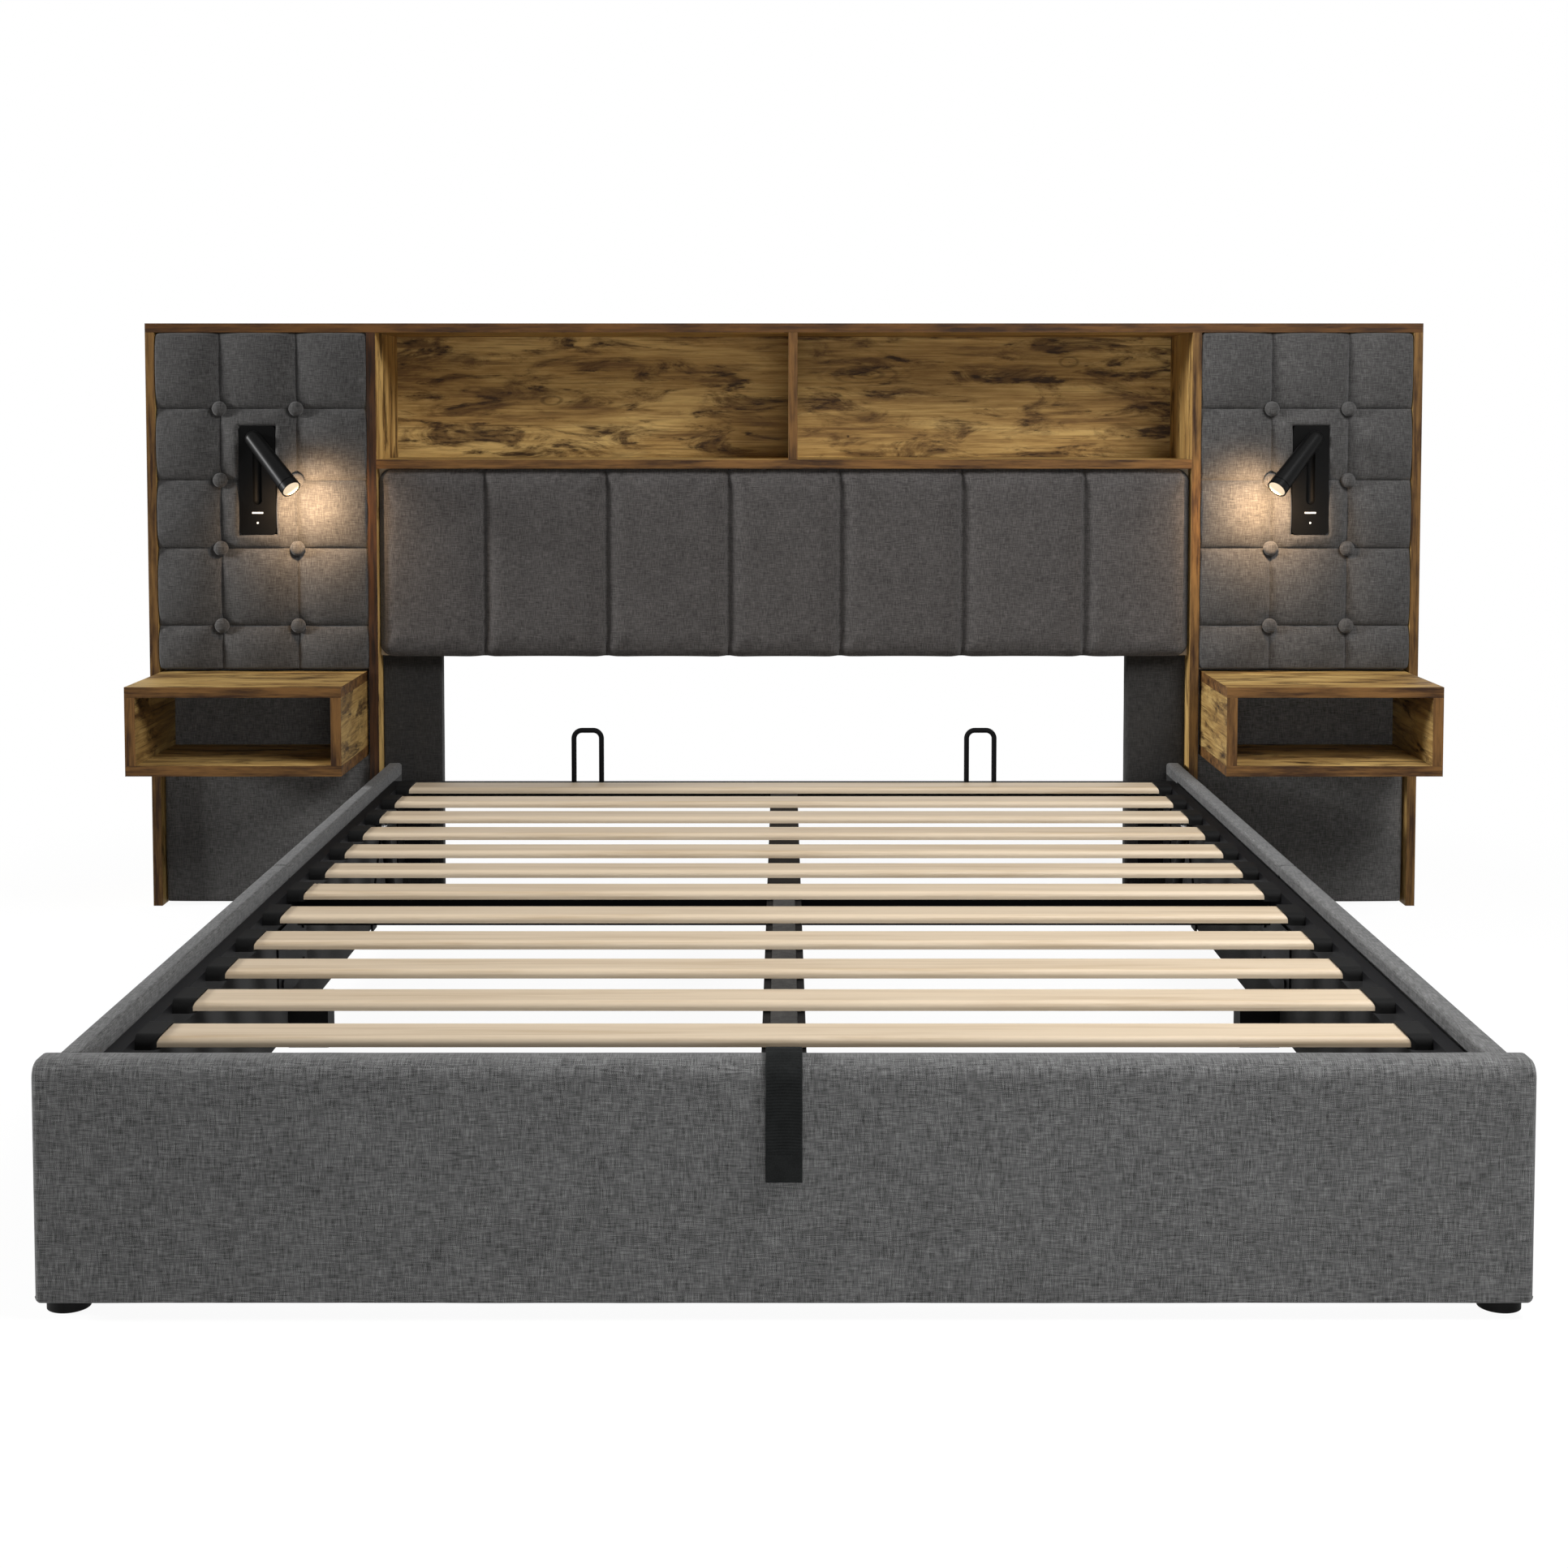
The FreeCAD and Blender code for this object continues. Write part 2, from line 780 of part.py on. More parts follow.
def hinge_plates():
    low = Vector(-inside_half, strut_base_y, strut_base_z)
    high = Vector(-inside_half, hinge_y, hinge_z)
    margin = hinge_plate_margin
    outline = [
        low + Vector(0, -margin, -margin),
        low + Vector(0, margin, -margin),
        high + Vector(0, margin, -margin),
        high + Vector(0, margin, margin),
        high + Vector(0, -margin, margin),
        low + Vector(0, -margin, margin),
    ]
    plate = prism(outline, X * hinge_plate_thickness)
    run = high - low
    bolts = [low + run * share + X * hinge_plate_thickness for share in hinge_bolt_shares]
    bolts = [rod(bolt_head_diameter, seat, seat + X * bolt_head_height) for seat in bolts]
    save("hinge_plates", *both_sides(plate, hinge_pin(), strut_base_stud(), *bolts))


def hinge_pin():
    """The pin that the side bar turns on, headed on the inner side."""
    seat = Vector(-hinge_plate_face, hinge_y, hinge_z)
    shank_end = Vector(seat_gap - frame_inner, hinge_y, hinge_z)
    pin = rod(hinge_pin_diameter, seat, shank_end)
    head = rod(hinge_pin_head_diameter, shank_end, shank_end + X * hinge_pin_head_height)
    return pin.fuse(head).removeSplitter()


def stud(seat):
    """A collar standing on a face, with the thinner pin that a strut eye goes on."""
    collar_end = Vector(-strut_x - strut_eye_thickness / 2 - strut_collar_gap, seat.y, seat.z)
    pin_end = Vector(-strut_x + strut_eye_thickness / 2 + strut_pin_tip, seat.y, seat.z)
    collar = rod(strut_collar_diameter, seat, collar_end)
    return collar.fuse(rod(strut_pin_diameter, collar_end, pin_end)).removeSplitter()


def strut_base_stud():
    return stud(Vector(-hinge_plate_face, strut_base_y, strut_base_z))


def strut_eye(along, hole):
    """A flat round eye on the strut's own axis, with its tab left to the rod or cylinder."""
    half = strut_eye_thickness / 2
    centre = Z * along
    eye = rod(strut_eye_diameter, centre - X * half, centre + X * half)
    return eye, rod(hole, centre - X * (half + overrun), centre + X * (half + overrun))


def strut_posed(shape):
    """A strut piece, built upright on the origin, leaned to where it rests."""
    posed = shape.copy()
    posed.rotate(ORIGIN, X, strut_rest_angle / 2)
    posed.translate(Vector(-strut_x, strut_base_y, strut_base_z))
    return posed


def gas_struts():
    eye, hole = strut_eye(0, strut_pin_diameter + 2 * running_gap)
    barrel = rod(strut_cylinder_diameter, Z * (strut_eye_diameter / 2 - overrun), Z * strut_cylinder_length)
    bore = rod(
        strut_rod_diameter + 2 * running_gap,
        Z * strut_bore_floor,
        Z * (strut_cylinder_length + overrun),
    )
    cylinder = barrel.fuse(eye).cut(hole).cut(bore)
    save_pair("strut_cylinder", strut_posed(cylinder))

    eye, hole = strut_eye(strut_rest_length, strut_pin_diameter + 2 * strut_open_play)
    shaft = rod(
        strut_rod_diameter,
        Z * strut_rod_floor,
        Z * (strut_rest_length - strut_eye_diameter / 2 + overrun),
    )
    save_pair("strut_rod", strut_posed(shaft.fuse(eye).cut(hole)))


# Lift frame


def side_bars():
    bar = tube((-frame_half, -frame_inner), (frame_foot, frame_head), (frame_under, frame_top), 1)
    pivot = Vector(-frame_half, hinge_y, hinge_z)
    through = frame_bar_width + overrun
    hole = rod(hinge_pin_diameter + 2 * running_gap, pivot - X * overrun, pivot + X * through)
    top_stud = stud(Vector(-frame_inner, strut_top_y, hinge_z))
    save("frame_side_bars", *both_sides(bar.cut(hole), top_stud))


def cross_bars():
    across = (-frame_inner, frame_inner)
    height = (frame_under, frame_top)
    foot = tube(across, (frame_foot, frame_foot + frame_bar_width), height, 0)
    head = tube(across, (rear_bar_head, frame_head), height, 0)
    save("frame_end_bars", foot, head)
    low = slat_under - mid_bar_height
    starts = (mid_bar_foot, mid_bar_foot + frame_bar_width)
    middle = [tube(across, (start, start + frame_bar_width), (low, slat_under), 0) for start in starts]
    save("frame_mid_bars", *middle)


def centre_bars():
    across = (-centre_bar_width / 2, centre_bar_width / 2)
    low = slat_under - centre_bar_height
    rear = (mid_bar_head, rear_bar_head)
    front = (front_bar_foot, mid_bar_foot)
    felt_under = slat_under - felt_thickness
    save("centre_bar_rear", tube(across, rear, (low, slat_under), 1))
    save("centre_bar_front", tube(across, front, (low, felt_under), 1))
    save("centre_bar_felt", box((-felt_width / 2, felt_width / 2), front, (felt_under, slat_under)))


def slats_and_holders():
    slats = []
    holders = []
    for index in range(slat_count):
        front = first_slat + index * slat_pitch
        slats.append(slat_block(front, (-slat_half, slat_half), 0))
        holders.append(slat_holder(front))
    save("slats", *slats)
    save("slat_holders", *both_sides(*holders))


def slat_block(front, across, margin):
    """A slat with round top edges, or the same block grown by a margin."""
    block = box(
        across,
        (front - margin, front + slat_width + margin),
        (slat_under - margin, slat_top + margin),
    )
    top = edges_along(block, X, lambda middle: middle.z > slat_top - overrun)
    return block.makeFillet(slat_edge_radius + margin, top)


def slat_holder(front):
    """A plastic pocket on the left side bar, with a tongue over and under the slat's end."""
    reach = holder_reach - frame_inner
    wall = seat_gap + holder_wall
    body = slat_block(front, (-frame_inner, reach), wall)
    tongue = box(
        (-frame_inner, reach),
        (front - wall, front + slat_width + wall),
        (slat_under - wall, slat_top + wall),
    )
    corners = edges_along(tongue, Z, lambda middle: middle.x > reach - overrun)
    tongue = tongue.makeFillet(holder_corner_radius, corners)
    pocket = slat_block(front, (-slat_half - seat_gap, reach + overrun), seat_gap)
    return body.common(tongue).cut(pocket)


def mattress_stops():
    along = frame_head - frame_bar_width / 2
    middle = -stop_spacing / 2
    top = frame_top + stop_height - stop_rod_diameter / 2
    sides = (middle - stop_width / 2, middle + stop_width / 2)
    corners = [(sides[0], frame_top), (sides[0], top), (sides[1], top), (sides[1], frame_top)]
    points = [Vector(across, along, height) for across, height in corners]
    path = rounded_path(points, [stop_bend_radius, stop_bend_radius])
    section = Part.Wire(Part.makeCircle(stop_rod_diameter / 2, points[0], Z))
    save("mattress_stops", *both_sides(path.makePipeShell([section], True, False)))


# Pull strap


def strap_rod_centre():
    return Vector(0, frame_foot + strap_rod_setback, frame_under - strap_rod_drop)


def strap_hanger():
    """A rod in two ears under the foot bar."""
    centre = strap_rod_centre()
    near = strap_width / 2 + strap_ear_gap
    far = near + strap_ear_thickness
    half = strap_ear_length / 2
    hanger = rod(strap_rod_diameter, centre - X * far, centre + X * far)
    for across in ((-far, -near), (near, far)):
        ear = box(across, (centre.y - half, centre.y + half), (centre.z - half, frame_under))
        hanger = hanger.fuse(ear)
    save("strap_hanger", hanger.removeSplitter())


def pull_strap():
    """Webbing looped on the hanger, laid over the footboard and down its face."""
    centre = strap_rod_centre()
    half = strap_thickness / 2
    bore = strap_rod_diameter / 2 + running_gap
    left = -X * (strap_width / 2)
    loop_start = centre + left
    loop = rod(2 * (bore + strap_thickness), loop_start, loop_start + X * strap_width)
    run_height = centre.z - bore - half
    behind = foot_back + frame_foot_gap / 2
    over = footboard_top + strap_gap + half
    ahead = foot_face - strap_gap - half
    route = [(centre.y, run_height), (behind, run_height), (behind, over), (ahead, over)]
    route.append((ahead, footboard_top - strap_drop))
    points = [Vector(0, along, height) for along, height in route]
    back_bend = footboard_back_radius + frame_foot_gap / 2
    front_bend = footboard_front_radius + strap_gap + half
    path = rounded_path(points, [strap_lower_bend, back_bend, front_bend])
    corners = [left - Z * half, left + Z * half, Z * half - left, Z * -half - left]
    section = Part.makePolygon([points[0] + corner for corner in corners + corners[:1]])
    ribbon = path.makePipeShell([section], True, False)
    hole = rod(2 * bore, loop_start - X * overrun, loop_start + X * (strap_width + overrun))
    save("pull_strap", ribbon.fuse(loop).cut(hole).removeSplitter())


headboard_boards()
bookcase()
backing_boards()
headboard_legs()
centre_pad()
wing_pad()
lower_panels()
nightstands()
lamps()
footboard()
side_rails()
joint_plates()
corner_blocks()
head_brackets()
feet()
hinge_plates()
gas_struts()
side_bars()
cross_bars()
centre_bars()
slats_and_holders()
mattress_stops()
strap_hanger()
pull_strap()
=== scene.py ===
import json
import math

import bpy
import numpy as np
from mathutils import Matrix, Vector, noise

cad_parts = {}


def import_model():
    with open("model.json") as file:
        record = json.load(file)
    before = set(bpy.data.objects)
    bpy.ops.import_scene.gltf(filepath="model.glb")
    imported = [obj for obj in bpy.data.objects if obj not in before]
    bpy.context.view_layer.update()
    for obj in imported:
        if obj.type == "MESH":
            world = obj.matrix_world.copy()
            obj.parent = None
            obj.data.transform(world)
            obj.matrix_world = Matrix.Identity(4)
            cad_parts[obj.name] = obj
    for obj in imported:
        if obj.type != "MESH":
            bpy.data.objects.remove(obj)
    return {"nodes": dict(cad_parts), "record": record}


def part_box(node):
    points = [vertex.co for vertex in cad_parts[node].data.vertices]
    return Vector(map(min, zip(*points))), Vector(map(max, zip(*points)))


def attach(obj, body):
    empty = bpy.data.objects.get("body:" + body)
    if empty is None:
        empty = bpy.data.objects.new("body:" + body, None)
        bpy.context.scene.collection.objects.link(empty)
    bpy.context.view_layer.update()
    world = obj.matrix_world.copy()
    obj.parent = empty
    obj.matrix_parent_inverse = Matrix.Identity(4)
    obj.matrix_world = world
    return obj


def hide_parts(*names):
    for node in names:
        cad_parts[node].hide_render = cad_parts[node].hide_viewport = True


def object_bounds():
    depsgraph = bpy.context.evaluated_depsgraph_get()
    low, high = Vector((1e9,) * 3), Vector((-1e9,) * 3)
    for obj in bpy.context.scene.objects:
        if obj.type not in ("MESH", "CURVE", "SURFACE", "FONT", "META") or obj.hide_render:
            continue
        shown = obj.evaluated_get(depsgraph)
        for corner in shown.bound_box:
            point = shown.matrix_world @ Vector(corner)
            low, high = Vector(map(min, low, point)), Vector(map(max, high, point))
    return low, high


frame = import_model()
cad_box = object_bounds()
cad_nodes = frame["nodes"]
scene = bpy.context.scene

# Camera, from the photograph's perspective, in pixels, metres and degrees
PHOTO_SIZE = 1932
FOCAL_PIXELS = 2802.4
MIDDLE_ROW = 671.6
CAMERA_PLACE = (0.0, -3.619, 0.9866)
CAMERA_PITCH = 3.243
SENSOR = 36.0

# Sizes below are in metres. Centre pad
CENTRE_SEAMS = (0.112, 0.357, 0.602)
CENTRE_SEAM_DEPTH = 0.018
CENTRE_SEAM_ROLL = 0.020
CENTRE_CROWN = 0.15
CENTRE_RIM = 1.0
CENTRE_ROLL = 0.022
CENTRE_CORNER = 0.026
CENTRE_STEP = 0.010
CENTRE_BESIDE = (0.0012, 0.0035, 0.007, 0.012, 0.02)
CENTRE_UNEVEN = 0.0009
CENTRE_SET_BACK = 0.001
CENTRE_THINNEST = 0.006
CENTRE_PUFF = 0.003

# Wing pads
TUFT_COLUMN_HALF = 0.0765
TUFT_ROW_SHARES = (0.13, 0.361, 0.564, 0.776)
TUFT_SEAM_DEPTH = 0.022
TUFT_SEAM_ROLL = 0.013
TUFT_CROWN = 0.7
TUFT_RIM = 0.8
TUFT_ROLL = 0.005
TUFT_LEAD = 0.003
TUFT_CORNER = 0.009
TUFT_STEP = 0.008
TUFT_BESIDE = (0.001, 0.003, 0.0065, 0.013, 0.02)
TUFT_UNEVEN = 0.001
TUFT_THINNEST = 0.004
TUFT_PUFF = 0.002
TUFT_BUTTON_PULL = 0.008
TUFT_BUTTON_REACH = 0.024
FOLDS = 4
FOLD_HEIGHT = 0.0012
FOLD_AWAY = 0.03
FOLD_WIDTH = 0.014
PLATE_ROLL = 0.009
PLATE_GAP = 0.0007
PLATE_SWELL = 0.004
PLATE_SWELL_REACH = 0.03
PLATE_BESIDE = (-0.01, -0.0055, -0.003, -0.0014, -0.0007, 0.0012)
POCKET_THICKNESS = 0.002

# Buttons, with the (share of the radius, depth behind the top) of each ring
BUTTON_RADIUS = 0.015
BUTTON_AROUND = 28
BUTTON_GATHERS = 6
BUTTON_GATHER = 0.012
BUTTON_PROFILE = (
    (0.0, 0.0),
    (0.3, 0.0003),
    (0.55, 0.0014),
    (0.76, 0.0034),
    (0.9, 0.006),
    (0.985, 0.0094),
    (1.0, 0.0125),
    (0.93, 0.016),
)

# Cloth simulation of the pads
CLOTH_FRAMES = 12
CLOTH_PRESSURE = 6.0
CLOTH_SETTINGS = {
    "vertex_group_mass": "held",
    "mass": 0.004,
    "quality": 4,
    "tension_stiffness": 40,
    "compression_stiffness": 40,
    "shear_stiffness": 15,
    "bending_stiffness": 0.6,
    "air_damping": 4,
    "use_pressure": True,
    "uniform_pressure_force": CLOTH_PRESSURE,
}

# Boards wrapped in cloth, with the cycles to a metre of their unevenness
ROUGH_COARSE, ROUGH_FINE = 7, 26
RAIL_WRAP = {"radius": 0.0075, "step": 0.03, "swell": 0.0012, "seed": 5.0}
LEG_WRAP = {"radius": 0.006, "step": 0.025, "swell": 0.001, "seed": 9.0}
PANEL_WRAP = {"radius": 0.006, "step": 0.025, "swell": 0.0015, "seed": 9.0}
FELT_WRAP = {"radius": 0.0009, "step": 0.006, "swell": 0.0003, "seed": 4.0}
WRAP_TURN = (0.0, 0.423, 0.732, 1.0)
WRAP_DOME = 6
WRAP_SWELL, WRAP_SWELL_VARIES = 0.75, 0.5
WRAP_FINE = 0.4

# Footboard
FOOTBOARD_RADII = {"front_top": 0.0195, "back_top": 0.008, "back_low": 0.003, "front_low": 0.004}
FOOTBOARD_CORNER_POINTS = 8
FOOTBOARD_END = 0.007
FOOTBOARD_TURN = (0.0, 0.08, 0.25, 0.5, 0.75, 1.0)
FOOTBOARD_STEP = 0.012
FOOTBOARD_ROUGH = 0.0007
FOOTBOARD_FINE = 0.2

# Pull strap
STRAP_HALF = 0.0011
STRAP_OFF = 0.0015
STRAP_RUN_HEIGHT = 0.2149
STRAP_BENDS = (0.005, 0.012, 0.025)
STRAP_STEP = 0.0005
STRAP_BEND_POINTS = 1600
STRAP_SHARES = (-1.0, -0.97, -0.85, -0.6, -0.3, 0.0, 0.3, 0.6, 0.85, 0.97, 1.0)
STRAP_EDGE = 0.35
STRAP_HEM, STRAP_HEM_LENGTH = 0.0004, 0.030
STRAP_RIB, STRAP_RIB_PITCH, STRAP_RIB_BOW = 0.0007, 0.0034, 0.0012
STRAP_RIB_TOP, STRAP_RIB_FADES = 0.165, (0.004, 0.006)

# Floor, backdrop and lights
FLOOR_SIZE = 30.0
FLOOR_GAP = 0.0005
FLOOR_MATTE, FLOOR_SHOWN, FLOOR_LIT = 0.38, 0.08, 0.94
FLOOR_FADE = (1.6, 2.6)
WORLD_SOFT = 0.06
SOFTBOXES = (
    ("key_softbox", (1.7, -1.5, 2.7), (0.4, 0.2, 0.4), (1.6, 1.4), 112),
    ("fill_softbox", (0.3, -3.7, 0.6), (0.0, -1.0, 0.2), (1.6, 0.6), 38),
    ("left_softbox", (-10.0, -0.7, 3.0), (0.0, 0.6, 0.6), (1.6, 1.6), 1150),
)
GLOW_COLOUR = (1.0, 0.67, 0.39)
GLOW_POWER = 5.7
GLOW_SPREAD = 150
GLOW_SIZE = 0.012
GLOW_PLACE = (0.014, -0.002, -0.020)
GLOW_AIM = (0.005, 0.11, -0.03)

# The colour mix node's factor and two colours, and its colour result, by number
MIX_INPUTS, MIX_OUTPUT = (0, 6, 7), 2


# Materials


class Shader:
    """A material's nodes, with short calls to add and join them."""

    def __init__(self, name, roughness=0.5, metallic=0.0):
        self.material = bpy.data.materials.new(name)
        self.material.use_nodes = True
        self.nodes = self.material.node_tree.nodes
        self.links = self.material.node_tree.links
        self.bsdf = self.nodes["Principled BSDF"]
        self.bsdf.inputs["Roughness"].default_value = roughness
        self.bsdf.inputs["Metallic"].default_value = metallic

    def put(self, socket, value):
        if isinstance(value, bpy.types.NodeSocket):
            self.links.new(value, socket)
        else:
            socket.default_value = value

    def add(self, kind, inputs=None, **settings):
        node = self.nodes.new(kind)
        for key, value in settings.items():
            setattr(node, key, value)
        for key, value in (inputs or {}).items():
            self.put(node.inputs[key], value)
        return node

    def math(self, operation, *values):
        node = self.add("ShaderNodeMath", operation=operation)
        for socket, value in zip(node.inputs, values):
            self.put(socket, value)
        return node.outputs[0]

    def place(self):
        return self.add("ShaderNodeTexCoord").outputs["Object"]

    def normal(self):
        return self.add("ShaderNodeNewGeometry").outputs["Normal"]

    def split(self, vector):
        return list(self.add("ShaderNodeSeparateXYZ", {0: vector}).outputs)

    def vector(self, x, y, z):
        return self.add("ShaderNodeCombineXYZ", {"X": x, "Y": y, "Z": z}).outputs[0]

    def scaled(self, parts, scales, seed):
        """A noise place: each part times its scale, moved by the seed."""
        moved = [self.math("MULTIPLY_ADD", part, scale, seed) for part, scale in zip(parts, scales)]
        return self.vector(*moved)

    def noise(self, vector, detail=2.0, roughness=0.5, distortion=0.0):
        values = {"Vector": vector, "Scale": 1.0, "Detail": detail, "Roughness": roughness}
        values["Distortion"] = distortion
        return self.add("ShaderNodeTexNoise", values).outputs["Fac"]

    def ramp(self, value, *stops):
        """A colour or grey from a value, through (place, colour) stops."""
        node = self.add("ShaderNodeValToRGB", {"Fac": value})
        elements = node.color_ramp.elements
        for element, (position, colour) in zip(elements, stops):
            element.position = position
        for position, colour in stops[2:]:
            elements.new(position)
        for element, (position, colour) in zip(elements, stops):
            element.color = rgba(colour)
        return node.outputs["Color"]

    def spread(self, value, low, high):
        """0 at low and 1 at high, smooth between."""
        values = {"Value": value, "From Min": low, "From Max": high}
        node = self.add("ShaderNodeMapRange", values, interpolation_type="SMOOTHSTEP")
        return node.outputs["Result"]

    def mix(self, factor, first, second, blend="MIX"):
        node = self.add("ShaderNodeMix", data_type="RGBA", blend_type=blend)
        for index, value in zip(MIX_INPUTS, (factor, rgba(first), rgba(second))):
            self.put(node.inputs[index], value)
        return node.outputs[MIX_OUTPUT]

    def weighed(self, first, weight, second, other_weight):
        """The sum of two values by their weights."""
        other = self.math("MULTIPLY", second, other_weight)
        return self.math("MULTIPLY_ADD", first, weight, other)

    def choose(self, factor, first, second):
        """first where the factor is 0 and second where it is 1."""
        part = self.math("MULTIPLY", factor, self.math("SUBTRACT", second, first))
        return self.math("ADD", first, part)

    def bump(self, height, strength, distance, normal=None):
        values = {"Height": height, "Strength": strength, "Distance": distance}
        node = self.add("ShaderNodeBump", values)
        if normal is not None:
            self.put(node.inputs["Normal"], normal)
        self.put(self.bsdf.inputs["Normal"], node.outputs["Normal"])

    def facing(self):
        """1 where the surface mostly faces along X, Y or Z, as three values."""
        x, y, z = [self.math("ABSOLUTE", part) for part in self.split(self.normal())]

        def over(first, second, third):
            return self.math(
                "MULTIPLY",
                self.math("GREATER_THAN", first, second),
                self.math("GREATER_THAN", first, third),
            )

        return over(x, y, z), over(y, x, z), over(z, x, y)

    def colour(self, value):
        self.put(self.bsdf.inputs["Base Color"], rgba(value))

    def set(self, **values):
        for key, value in values.items():
            self.bsdf.inputs[key.replace("_", " ")].default_value = value


def rgba(colour):
    """A socket's colour from a grey or three parts. A socket stays as it is."""
    if isinstance(colour, bpy.types.NodeSocket):
        return colour
    if isinstance(colour, (int, float)):
        return (colour, colour, colour, 1.0)
    return (*colour[:3], 1.0)


THREAD = 0.0011
THREAD_CROSSING = 0.2
NEXT_THREAD, ALONG_THREAD, ACROSS_SLUB, CLOUDS = 7.31, 60.0, 760.0, 16.0
# Where the weave turns near-black inside the frame: half width, top and front, then its colour
INNER_BLACK_HALF, INNER_BLACK_TOP, INNER_BLACK_FRONT = 0.7785, 0.262, -1.1455
INNER_BLACK = (0.004, 0.004, 0.004)


def linen(name, dark, light, seed, black_inside=False):
    """Heathered plain weave, laid flat on whichever way the surface faces."""
    s = Shader(name, roughness=0.95)
    x, y, z = s.split(s.place())
    faces_x, _, faces_z = s.facing()
    across = s.choose(faces_x, x, y)
    along = s.choose(faces_z, z, y)
    flat = (across, along, 0.0)
    warp_place = (s.math("FLOOR", s.math("DIVIDE", across, THREAD)), along, 0.0)
    weft_place = (across, s.math("FLOOR", s.math("DIVIDE", along, THREAD)), 0.0)
    warp = s.noise(s.scaled(warp_place, (NEXT_THREAD, ALONG_THREAD, 1.0), seed))
    weft = s.noise(s.scaled(weft_place, (ALONG_THREAD, NEXT_THREAD, 1.0), seed + 9.0))
    over = s.math("SINE", s.math("MULTIPLY", across, math.pi / THREAD))
    under = s.math("SINE", s.math("MULTIPLY", along, math.pi / THREAD))
    weave = s.math("MULTIPLY", over, under)
    warp_on_top = s.spread(weave, -THREAD_CROSSING, THREAD_CROSSING)
    thread = s.choose(warp_on_top, weft, warp)
    slub_warp = s.noise(s.scaled(flat, (ACROSS_SLUB, ALONG_THREAD, 1.0), seed + 21.0))
    slub_weft = s.noise(s.scaled(flat, (ALONG_THREAD, ACROSS_SLUB, 1.0), seed + 33.0))
    cloudy = s.noise(s.scaled(flat, (CLOUDS, CLOUDS, 1.0), seed + 45.0), detail=3.0)
    slubs = s.weighed(cloudy, 0.06, s.math("ADD", slub_warp, slub_weft), 0.23)
    tone = s.math("MULTIPLY_ADD", thread, 0.48, slubs)
    middle = [0.6 * a + 0.4 * b for a, b in zip(dark, light)]
    face = s.ramp(tone, (0.38, dark), (0.5, middle), (0.64, light))
    if black_inside:
        # Near-black on the faces inside the frame: between the rails, below their tops, from the
        # footboard's back face on.
        inside = s.math("LESS_THAN", s.math("ABSOLUTE", x), INNER_BLACK_HALF)
        below = s.math("LESS_THAN", z, INNER_BLACK_TOP)
        behind = s.math("GREATER_THAN", y, INNER_BLACK_FRONT)
        inner_black_mask = s.math("MULTIPLY", s.math("MULTIPLY", inside, below), behind)
        face = s.mix(inner_black_mask, face, INNER_BLACK)
    s.colour(face)
    crown = s.choose(warp_on_top, s.math("ABSOLUTE", under), s.math("ABSOLUTE", over))
    s.bump(s.math("MULTIPLY_ADD", crown, 0.5, thread), 0.3, 0.0005)
    s.set(Sheen_Weight=0.12, Sheen_Roughness=0.6, Specular_IOR_Level=0.08)
    return s.material


# Board colours, and the (dark, light) pairs of their edge bands
PALE, GOLD, BROWN = (0.64, 0.44, 0.165), (0.405, 0.25, 0.082), (0.175, 0.093, 0.031)
STAIN, DARK = (0.095, 0.047, 0.015), (0.026, 0.0125, 0.0055)
BAND = ((0.026, 0.0105, 0.0035), (0.165, 0.08, 0.024))
TOP_BAND = ((0.022, 0.009, 0.0032), (0.113, 0.05, 0.0135))
GOLDEN_BAND = ((0.028, 0.0115, 0.004), (0.18, 0.095, 0.029))
# The next, darkest band is painted shade, on the left inner post's front edge only.
PAINTED_SHADE_BAND = ((0.008, 0.0034, 0.0015), (0.055, 0.022, 0.0072))

# A board's noises: cells to a metre along and across the grain, step of the seed,
# then detail, roughness and distortion
GRAINS = {
    "broad": (2.0, 12.0, 0.0, 5.0, 0.6, 0.8),
    "streak": (7.0, 130.0, 3.0, 5.0, 0.7, 0.0),
    "smudge": (6.0, 24.0, 7.0, 8.0, 0.68, 0.7),
    "fleck": (24.0, 130.0, 11.0, 4.0, 0.7, 0.0),
    "line": (6.0, 380.0, 13.0, 2.0, 0.5, 0.0),
    "cloud": (7.0, 40.0, 17.0, 4.0, 0.6, 0.0),
    "fibre": (7.0, 130.0, 19.0, 5.0, 0.7, 0.0),
}
BOARD_EDGE = 0.0012


def knot_rings(s, x, z, wobble, centre, size):
    """How dark the rings round a knot are, from 0 to 1."""
    half_x, half_z, rings = size
    side = s.math("DIVIDE", s.math("SUBTRACT", x, centre[0]), half_x)
    up = s.math("DIVIDE", s.math("SUBTRACT", z, centre[1]), half_z)
    away = s.math("SQRT", s.math("MULTIPLY_ADD", side, side, s.math("MULTIPLY", up, up)))
    away = s.math("MULTIPLY_ADD", wobble, 0.5, away)
    ring = s.math("SINE", s.math("MULTIPLY", away, rings))
    near = s.spread(away, 1.35, 0.55)
    return s.math("MULTIPLY", s.spread(ring, 0.1, 0.95), near)


def grain_first(parts, grain):
    """The three coordinates with the one along the grain first."""
    return [parts["XYZ".index(grain)]] + [part for axis, part in zip("XYZ", parts) if axis != grain]


def grain_noise(s, order, kind, seed):
    along, across, step, detail, roughness, distortion = GRAINS[kind]
    place = s.scaled(order, (along, across, across), seed + step)
    return s.noise(place, detail, roughness, distortion)


